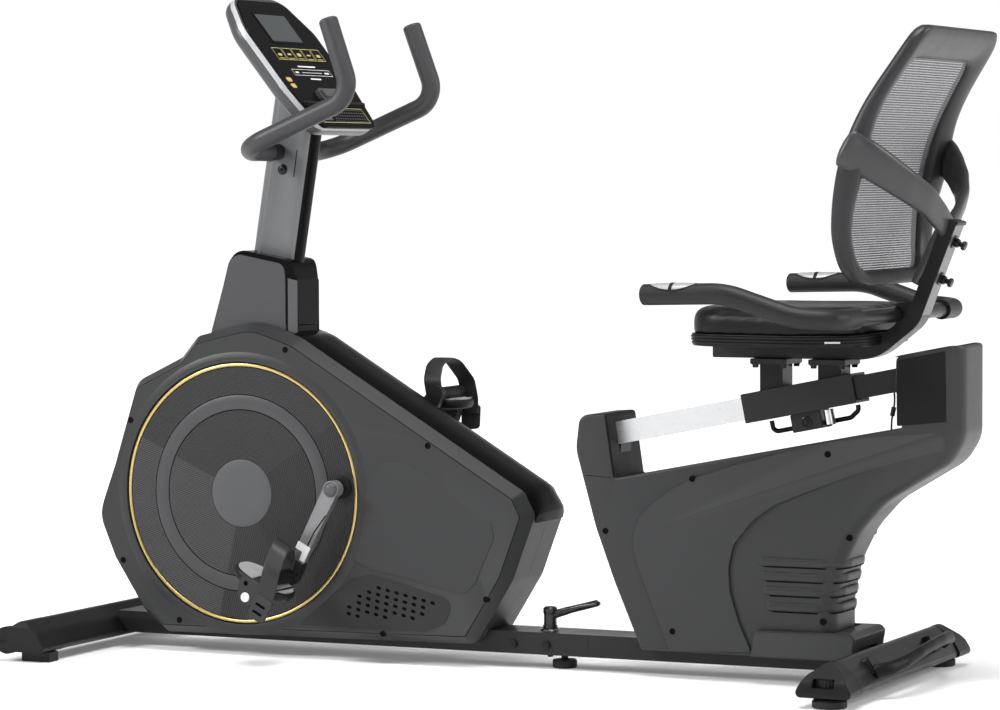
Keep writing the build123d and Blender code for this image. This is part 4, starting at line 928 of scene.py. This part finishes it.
def rear_housing():
    outline = rounded([(x, z, 0) for x, z in REAR_SIDE], REAR_RADII, closed=True, steps=10)
    outline = resample(outline, 620)
    flat = np.array([(p.x, p.y) for p in outline])
    run = np.roll(flat, -2, axis=0) - np.roll(flat, 2, axis=0)
    run /= np.linalg.norm(run, axis=1, keepdims=True)
    inward = np.stack([-run[:, 1], run[:, 0]], axis=1)
    if (inward[0] * (flat.mean(axis=0) - flat[0])).sum() < 0:
        inward = -inward
    back = flat[(flat[:, 0] > 545) & ~((flat[:, 1] > 395) & (flat[:, 0] < 700)) & (flat[:, 1] < 565)]
    back = back[np.argsort(back[:, 1])]
    edge = np.interp(flat[:, 1], back[:, 1], back[:, 0])
    for word, side in SIDES:
        node = f"rear_shell_{word}"
        rings = []
        for y in (0.15, 20, 36, 42, 47, 51, 55, 58.5, 61.5, 63.5, 64.8, 65.6, 66.0):
            small = 4.0 - math.sqrt(max(16.0 - max(y - (REAR_FACE - 4.0), 0) ** 2, 0))
            large = 26 * (1 - math.sqrt(max(1 - (max(y - (REAR_FACE - 28.0), 0) / 28.0) ** 2, 0)))
            at = flat + inward * small
            behind = (flat[:, 0] > 540) & (at[:, 0] > edge - large)
            at[:, 0] = np.where(behind & (edge - flat[:, 0] < 60), edge - large, at[:, 0])
            rings.append([V(x, side * y, z) for x, z in at])
        obj = loft(f"rear_cover_{word}", rings, "chassis", [M["housing"], MATT_BLACK], smooth=38)
        for face in obj.data.polygons:
            x, z = face.center.x * 1000 - DATUM, face.center.z * 1000
            faces_rear = face.normal.x > 0.4 and x < 195 and z > 333
            faces_up = face.normal.z > 0.75 and (z > 437 and x < 170 or z > 536)
            if faces_rear or faces_up:
                face.material_index = 1
        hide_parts(node)
        swell = GROOVE_ONE + [(640, 414), (720, 421), (752, 425)] + list(reversed(GROOVE_TWO))
        plate(f"flank_swell_{word}", swell, side, 65.6, 71.0, "chassis", M["housing"], 5.3,
              [4] + [40] * (len(swell) - 2) + [4], 8)
        for vertex in bpy.data.objects[f"flank_swell_{word}"].data.vertices:
            height = abs(vertex.co.y) - REAR_FACE / 1000
            if height > 0:
                fade = min(max((vertex.co.x * 1000 - DATUM - 400) / 240, 0), 1)
                vertex.co.y = side * (REAR_FACE / 1000 + height * (1 - fade * fade * (3 - 2 * fade)) + 0.0001)
        sweep(f"seam_{word}", [V(130, side * 66.1, 337), V(176, side * 66.1, 334)], oval(0.9, 0.5, 8),
              "chassis", GAP_BLACK, up=(0, 1, 0))
        panel = [(680, 433), (679.5, 498), (681.5, 540), (762, 556), (764, 442)]
        plate(f"post_panel_{word}", panel, side, 65.8, 66.6, "chassis", MATT_BLACK, 0.4,
              [2, 20, 5, 3, 3], 2)
    for k, (x, z, rear) in enumerate(((444, 204, 586), (448, 180, 580), (454, 156, 575), (459, 130, 572))):
        run = rounded([(x, -66.4, z), (rear - 30, -66.4, z), (rear - 4, -55, z), (rear + 2, -30, z),
                       (rear + 2, 30, z), (rear - 4, 55, z), (rear - 30, 66.4, z), (x, 66.4, z)],
                      [22, 22, 22, 22, 22, 22], steps=6)
        path = [V(*p) for p in resample(run, 110, closed=False)]
        sweep(f"rib_{k}", path, oval(5.6, 14.5, 16, 2.3), "chassis", M["housing"], tips=4)
        # A thin black line just under each rib: painted shadow in the crease below it.
        shadow = [V(p.x * 1000 - DATUM, p.y * 1000, z - 8.4) for p in path[2:-2]]
        sweep(f"rib_shadow_line_{k}", shadow, oval(1.8, 2.2, 8), "chassis", GAP_BLACK)
    refine("rear_foot_cover", 6.0, 4)


# ---- Rail, carriage, latch ----
def rail_at(along, out=0.0, y=0.0):
    """Point by distance along the rail, height above its axis and across."""
    c, s = math.cos(RAIL_TILT), math.sin(RAIL_TILT)
    return V(163 + along * c - out * s, y, 405 + along * s + out * c)


def rail_and_carriage():
    rail = refine("rail", 1.4, 3, material=[M["aluminium"], M["black_steel"]])
    joint, along = rail_at(RAIL_PAINTED_FROM), rail_at(RAIL_PAINTED_FROM + 1) - rail_at(RAIL_PAINTED_FROM)
    bm = bmesh.new()
    bm.from_mesh(rail.data)
    bmesh.ops.bisect_plane(bm, geom=bm.verts[:] + bm.edges[:] + bm.faces[:], plane_co=joint, plane_no=along)
    for face in bm.faces:
        if (face.calc_center_median() - joint) @ along > 0:
            face.material_index = 1
    bm.to_mesh(rail.data)
    bm.free()
    ends = [rail_at(-0.4, 17.5, -26.5), rail_at(-0.4, 17.5, 26.5), rail_at(-0.4, -17.5, 26.5),
            rail_at(-0.4, -17.5, -26.5)]
    slab("rail_end_plug", ends, rail_at(2, 0) - rail_at(4, 0), "chassis", M["black_plastic"],
         0.8)
    refine("carriage", 1.6, 3)
    for x in (447, 549):
        for dx in (-25, 25):
            for y in (-30, 30):
                word = f"{x}_{'f' if dx < 0 else 'r'}_{'l' if y < 0 else 'r'}"
                lathe(f"flange_bolt_{word}", V(x + dx, y, 528), (0, 0, -1),
                      [(0, 0), (7.5, 0), (7.5, 1.4), (5.6, 1.6), (5.6, 5.6), (4.8, 6.2), (0, 6.2)],
                      "seat", M["fastener"], 6, 20)
    refine("latch_box", 1.2, 2)
    refine("release_bar", 0.6, 2, material=M["black_steel"])
    boss = rail_at(345, -40, -24.2)
    lathe("latch_boss", boss, (0, -1, 0),
          [(0, 0), (9, 0), (9, 1.6), (7.4, 2.2), (6.6, 0.9), (3.4, 0.9), (3.0, 2.4), (0, 2.6)],
          "seat", M["fastener"], 32)
    lathe("latch_pin_tube", rail_at(384, -52, -16), (-0.195, 0, 0.98),
          [(0, 0), (7.6, 0), (8.6, 1), (8.6, 25), (7.4, 26), (0, 26)],
          "seat", M["bright_steel"], 32)


# ---- Seat ----
SEAT_PLAN = [(341, -134), (382, -170), (560, -196), (640, -150), (640, 150), (560, 196), (382, 170),
             (341, 134)]
SEAT_RADII = [60, 70, 90, 70, 70, 90, 70, 60]


def seat_ring(count=120):
    return resample(rounded([(x, y, 0) for x, y in SEAT_PLAN], SEAT_RADII, closed=True, steps=10), count)


def plan_ring(shrink, z, count=120, lift=None):
    """Seat outline drawn in by shrink mm, at height z."""
    out = []
    centre = Vector((500, 0, 0))
    for p in seat_ring(count):
        d = p - centre
        scale = max(0.0, 1 - shrink / d.length)
        q = centre + d * scale
        out.append((q.x, q.y, z if lift is None else z + lift(q.x, q.y)))
    return out


def saddle(x, y):
    """Gentle dish of the seat's top, higher at the rear edge."""
    return 3.0 * ((x - 500) / 140) ** 2 * (1 if x > 500 else 0.3) - 2.0 * math.exp(-((y / 60) ** 2))


def simulate(obj, pressure, cap, frames=20):
    """Inflates a closed cushion a little, with the move of each point capped."""
    start = np.array([v.co for v in obj.data.vertices])
    cloth = obj.modifiers.new("cloth", "CLOTH")
    cloth.settings.use_pressure = True
    cloth.settings.uniform_pressure_force = pressure
    cloth.settings.effector_weights.gravity = 0
    cloth.settings.tension_stiffness = 20
    cloth.settings.bending_stiffness = 2
    scene = bpy.context.scene
    for step in range(1, frames + 1):
        scene.frame_set(step)
    graph = bpy.context.evaluated_depsgraph_get()
    moved = np.array([v.co for v in obj.evaluated_get(graph).data.vertices])
    obj.modifiers.remove(cloth)
    scene.frame_set(1)
    if moved.shape != start.shape or not np.isfinite(moved).all():
        return
    delta = moved - start
    size = np.linalg.norm(delta, axis=1, keepdims=True)
    delta *= np.minimum(1, cap / np.maximum(size, 1e-9))
    obj.data.vertices.foreach_set("co", (start + delta).astype(np.float32).ravel())
    obj.data.update()


def seat():
    levels = [(26, 579.4), (14, 578.6), (6, 580.0), (3.5, 584.0), (3.0, 596.0), (3.4, 606.0), (6, 613.5),
              (13, 619.5),
              (26, 622.6), (52, 624.4), (90, 625.2), (130, 625.0)]
    rings = [[V(*p) for p in plan_ring(shrink, z, lift=saddle if z > 615 else None)] for shrink, z in levels]
    pad = loft("seat_cushion", rings, "seat", M["leather"], smooth=80)
    remesh = pad.modifiers.new("even", "REMESH")
    remesh.mode = "VOXEL"
    remesh.voxel_size = 0.0052
    graph = bpy.context.evaluated_depsgraph_get()
    pad.data = bpy.data.meshes.new_from_object(pad.evaluated_get(graph))
    pad.modifiers.clear()
    simulate(pad, 4.0, 0.0035)
    fine = pad.modifiers.new("fine", "SUBSURF")
    fine.levels = fine.render_levels = 1
    pad.data.polygons.foreach_set("use_smooth", [True] * len(pad.data.polygons))
    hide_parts("seat_pad")
    seam = [V(*p) for p in plan_ring(4.2, 580.6, 160)]
    sweep("seat_piping", seam, oval(3.2, 3.2, 10), "seat", M["leather"], closed=True)
    band = [(30, 562.0), (6, 562.0), (4.5, 563.0), (4.0, 565.6), (2.4, 566.2), (2.4, 568.8), (4.0, 569.4),
            (4.0, 570.6), (1.6, 571.2), (1.6, 573.8), (3.6, 574.4), (3.6, 575.4), (0.8, 576.2), (0.8, 578.4),
            (3.0, 579.2), (16, 579.4)]
    rings = [[V(*p) for p in plan_ring(shrink, z)] for shrink, z in band]
    base = loft("seat_tray", rings, "seat", M["black_plastic"], smooth=35)
    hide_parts("seat_base")
    slab("seat_tag", [V(596, -176.5, 570), V(620, -168.5, 570), V(620, -168.5, 573), V(596, -176.5, 573)],
         Vector((0.0002, -0.0008, 0)), "seat", M["bright_steel"], 0.2)
    refine("seat_frame", 2.0, 3, paint=lambda f: f.normal.x > 0.75 and f.calc_center_median().z > 0.62,
           material=[M["black_steel"], M["mast_paint"]])
    cap = [V(741, -23, 764), V(741, 23, 764), V(767, 23, 757), V(767, -23, 757)]
    slab("upright_cap", cap, Vector((0.0022, 0, 0.0062)), "seat", M["black_plastic"], 1.5, 3)
    for k, (x, z) in enumerate(((756, 730), (733, 670))):
        lean = Vector((0.93, 0, -0.36)).normalized()
        lathe(f"upright_bolt_{k}", V(x, 0, z), lean,
              [(0, -3), (11, -3), (11, 0.5), (7.4, 1.0), (7.4, 5.5), (4.4, 6), (4.4, 13), (7, 14), (8, 17),
               (7, 20), (0, 21)],
              "seat", M["fastener"], 24)
    grip = refine("seat_grips", 0.6, 2, material=SEAT_FOAM, smooth=60)
    for word, side in SIDES:
        tube_end(f"grip_tip_{word}", (350, side * GRIP_Y, 651), (486, side * GRIP_Y, 654), GRIP_RADIUS,
                 "seat", SEAT_FOAM)
        pulse(word, side)


def pulse(word, side):
    """Pulse sensor: two pale shells with a black divider, let into the top of the grip."""
    def skin(name, low, high, lift, material, reach=64):
        rings = []
        for i in range(41):
            x = low + (high - low) * (1 - math.cos(math.pi * i / 40)) / 2
            edge = math.sqrt(max(math.sin(math.pi * (x - 359) / 82), 0.0004))
            radius = GRIP_RADIUS + lift * edge
            outer = [(radius, math.radians(reach * edge * (-1 + k / 8))) for k in range(17)]
            inner = [(15.6, a) for _, a in reversed(outer)]
            rings.append([V(x, side * GRIP_Y + r * math.sin(a), 651 + (x - 350) * 3 / 136 + r * math.cos(a))
                          for r, a in outer + inner])
        return loft(name, rings, "seat", material, smooth=50)

    skin(f"pulse_seat_{word}", 359.2, 440.8, 0.9, M["black_plastic"], 74)
    skin(f"pulse_saddle_{word}", 396, 402, 1.9, M["black_plastic"])
    obj = skin(f"pulse_front_{word}", 363, 396.2, 1.5, PULSE)
    skin(f"pulse_rear_{word}", 401.8, 437, 1.5, PULSE)
    if side < 0:
        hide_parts("pulse_plates")


# ---- Backrest ----
PROFILE_Z = [655, 690, 745, 802, 860, 915, 970, 1025, 1080]
PROFILE_X = [646, 626, 620, 623, 632, 653, 684, 717, 750]
CURVE = np.polyfit(np.array(PROFILE_Z) - 860.0, PROFILE_X, 5)


def back_x(z):
    """Front surface of the backrest, by height."""
    return float(np.polyval(CURVE, z - 860.0))


def back_ring(inset, count=200):
    i = inset
    low, top = 662 + 0.55 * i, 1076 - 1.15 * i
    outline = [(-196 + i, low), (-217 + i, 744), (-223 + i, 850), (-214 + i, 960), (-196 + i, top),
               (196 - i, top), (214 - i, 960), (223 - i, 850), (217 - i, 744), (196 - i, low)]
    radii = [44, 80, 90, 90, 34, 34, 90, 90, 80, 44]
    return resample(rounded([(y, z, 0) for y, z in outline], radii, closed=True, steps=8), count)


def backrest():
    section = [(44, 9), (40, 4), (34, 1), (22, -1.5), (10, -0.5), (3, 3), (0, 9), (0, 18), (2, 25), (7, 28.5),
               (16, 29), (30, 26), (40, 21), (44, 17)]
    rings = []
    for inset, depth in section:
        ring = []
        for p in back_ring(inset):
            wing = math.exp(-(((p.y - 850) / 70) ** 2)) * 13.0 * min(1, max(0, (abs(p.x) - 120) / 80))
            ring.append(V(back_x(p.y) + depth + (wing if depth > 15 else 0), p.x, p.y))
        rings.append(ring)
    obj = loft("back_rim", rings, "seat", M["back_shell"], closed=True, smooth=70)
    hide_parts("backrest_frame")
    weave()
    arms()


def weave():
    """Open diagonal lattice of the back panel, cut to the rim and curved with it."""
    pitch_y, pitch_z, open_y, open_z = 4.4, 3.8, 0.29, 0.27
    poly = [(p.x, p.y) for p in back_ring(41, 120)]

    def inside(y, z):
        hit = False
        for (y0, z0), (y1, z1) in zip(poly, poly[1:] + poly[:1]):
            if (z0 > z) != (z1 > z) and y < (y1 - y0) * (z - z0) / (z1 - z0) + y0:
                hit = not hit
        return hit

    def at(y, z, wobble=0.0):
        belly = 5.0 * (1 - (y / 190) ** 2) * math.sin(math.pi * min(max((z - 700) / 340, 0), 1))
        return V(back_x(z) + 12.5 + belly + wobble, y, z)

    verts, faces, area = [], [], 0.0
    for row in range(int(400 / pitch_z)):
        z = 674 + row * pitch_z
        for col in range(-50, 50):
            y = col * pitch_y
            if not inside(y, z) or not inside(y + pitch_y, z + pitch_z):
                continue
            a = len(verts)
            my, mz = y + pitch_y / 2, z + pitch_z / 2
            hy, hz = pitch_y * open_y, pitch_z * open_z
            verts += [at(y, z), at(y + pitch_y, z), at(y + pitch_y, z + pitch_z), at(y, z + pitch_z),
                      at(my, mz - hz, 0.5), at(my + hy, mz, -0.3), at(my, mz + hz, 0.5),
                      at(my - hy, mz, -0.3)]
            for k in range(4):
                j = (k + 1) % 4
                faces.append((a + k, a + j, a + 4 + k))
                faces.append((a + j, a + 4 + j, a + 4 + k))
            area += pitch_y * pitch_z * (1 - 2 * open_y * open_z) / 1e6
    obj = piece("back_weave", verts, faces, "seat", M["mesh"], 80)
    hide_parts("backrest_mesh")


def arms():
    """Satin bracket: two blades from the upright round to the rim, and a stem between them."""
    for word, side in SIDES:
        run = [(744, side * 4, 752), (745, side * 40, 770), (740, side * 92, 798), (722, side * 140, 822),
               (699, side * 178, 846), (679, side * 204, 864), (662, side * 217, 875), (649, side * 221, 882)]
        path = [V(*p) for p in resample(rounded(run, 90, steps=6), 52, closed=False)]
        obj = sweep(f"back_arm_{word}", path, oval(15, 44, 22, 2.8), "seat",
                    M["satin_plastic"],
                    up=(0.25, 0, 0.97), size=lambda t: (1.1 + 0.5 * t * t, 0.9 + 0.55 * t ** 1.3), tips=9)
        if side < 0:
            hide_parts("backrest_bracket")
    stem = [(742, 0, 766), (731, 0, 738), (714, 0, 700), (694, 0, 664)]
    path = [V(*p) for p in resample(rounded(stem, 80, steps=6), 24, closed=False)]
    sweep("back_stem", path, oval(44, 18, 20, 3.2), "seat", M["satin_plastic"], up=(1, 0, 0),
          tips=3,
          size=lambda t: (1, 0.85 + 0.4 * math.sin(math.pi * t)))


# ---- Studio ----
def studio():
    mesh = bpy.data.meshes.new("floor")
    corners = [(x * FLOOR_HALF, y * FLOOR_HALF, 0) for x, y in ((-1, -1), (1, -1), (1, 1), (-1, 1))]
    mesh.from_pydata(corners, [], [(0, 1, 2, 3)])
    floor = bpy.data.objects.new("floor", mesh)
    bpy.context.scene.collection.objects.link(floor)
    pale = bpy.data.materials.new("pale_floor")
    pale.use_nodes = True
    nodes, links = pale.node_tree.nodes, pale.node_tree.links
    shader = nodes["Principled BSDF"]
    dial(shader, Base_Color=(0.90, 0.90, 0.90, 1), Roughness=0.9, Specular_IOR_Level=0.1,
         Emission_Color=(1, 1, 1, 1))
    place, length, glow = (nodes.new(kind) for kind in ("ShaderNodeTexCoord", "ShaderNodeVectorMath",
                                                        "ShaderNodeMapRange"))
    length.operation = "LENGTH"
    links.new(place.outputs["Object"], length.inputs[0])
    links.new(length.outputs["Value"], glow.inputs["Value"])
    dial(glow, From_Min=0.9, From_Max=2.6, To_Min=0.12, To_Max=0.9)
    links.new(glow.outputs["Result"], shader.inputs["Emission Strength"])
    mesh.materials.append(pale)
    world = bpy.data.worlds.new("studio")
    bpy.context.scene.world = world
    world.use_nodes = True
    nodes, links = world.node_tree.nodes, world.node_tree.links
    sky = nodes.new("ShaderNodeTexCoord")
    split = nodes.new("ShaderNodeSeparateXYZ")
    links.new(sky.outputs["Generated"], split.inputs["Vector"])
    fade = nodes.new("ShaderNodeMapRange")
    dial(fade, From_Min=0.07, From_Max=0.38, To_Min=1.0, To_Max=0.26)
    links.new(split.outputs["Z"], fade.inputs["Value"])
    turn = nodes.new("ShaderNodeMapRange")
    dial(turn, From_Min=-0.5, From_Max=0.5, To_Min=0.42, To_Max=1.0)
    links.new(split.outputs["Y"], turn.inputs["Value"])
    both = nodes.new("ShaderNodeMath")
    both.operation = "MULTIPLY"
    links.new(fade.outputs["Result"], both.inputs[0])
    links.new(turn.outputs["Result"], both.inputs[1])
    links.new(both.outputs[0], nodes["Background"].inputs["Strength"])
    nodes["Background"].inputs["Color"].default_value = (1, 1, 1, 1)
    for name, at, aim, size, power in (("key", (-3.4, -3.2, 2.9), (0, 0, 0.5), 1.3, 220),
                                       ("fill", (3.4, -3.6, 1.6), (0.2, 0, 0.5), 2.0, 30),
                                       ("overhead", (0.6, -0.9, 4.0), (0, 0, 0.4), 2.4, 190),
                                       ("rear_edge", (3.8, 1.0, 2.2), (0.5, 0, 0.6), 1.4, 60)):
        lamp = bpy.data.lights.new(name, "AREA")
        lamp.size = size
        lamp.energy = power
        obj = bpy.data.objects.new(name, lamp)
        bpy.context.scene.collection.objects.link(obj)
        obj.location = at
        obj.rotation_euler = (Vector(aim) - Vector(at)).to_track_quat("-Z", "Y").to_euler()


for build in (front_housing, centre_strip, discs, cranks):
    build()
pedal("left", -1, "left_pedal", -28.0, along_crank(170))
pedal("right", 1, "right_pedal", 0.0, along_crank(170, 180))
for build in (upright, handlebar, console, ground_gear, clamp, screws, rear_housing, rail_and_carriage, seat,
              backrest, studio):
    build()
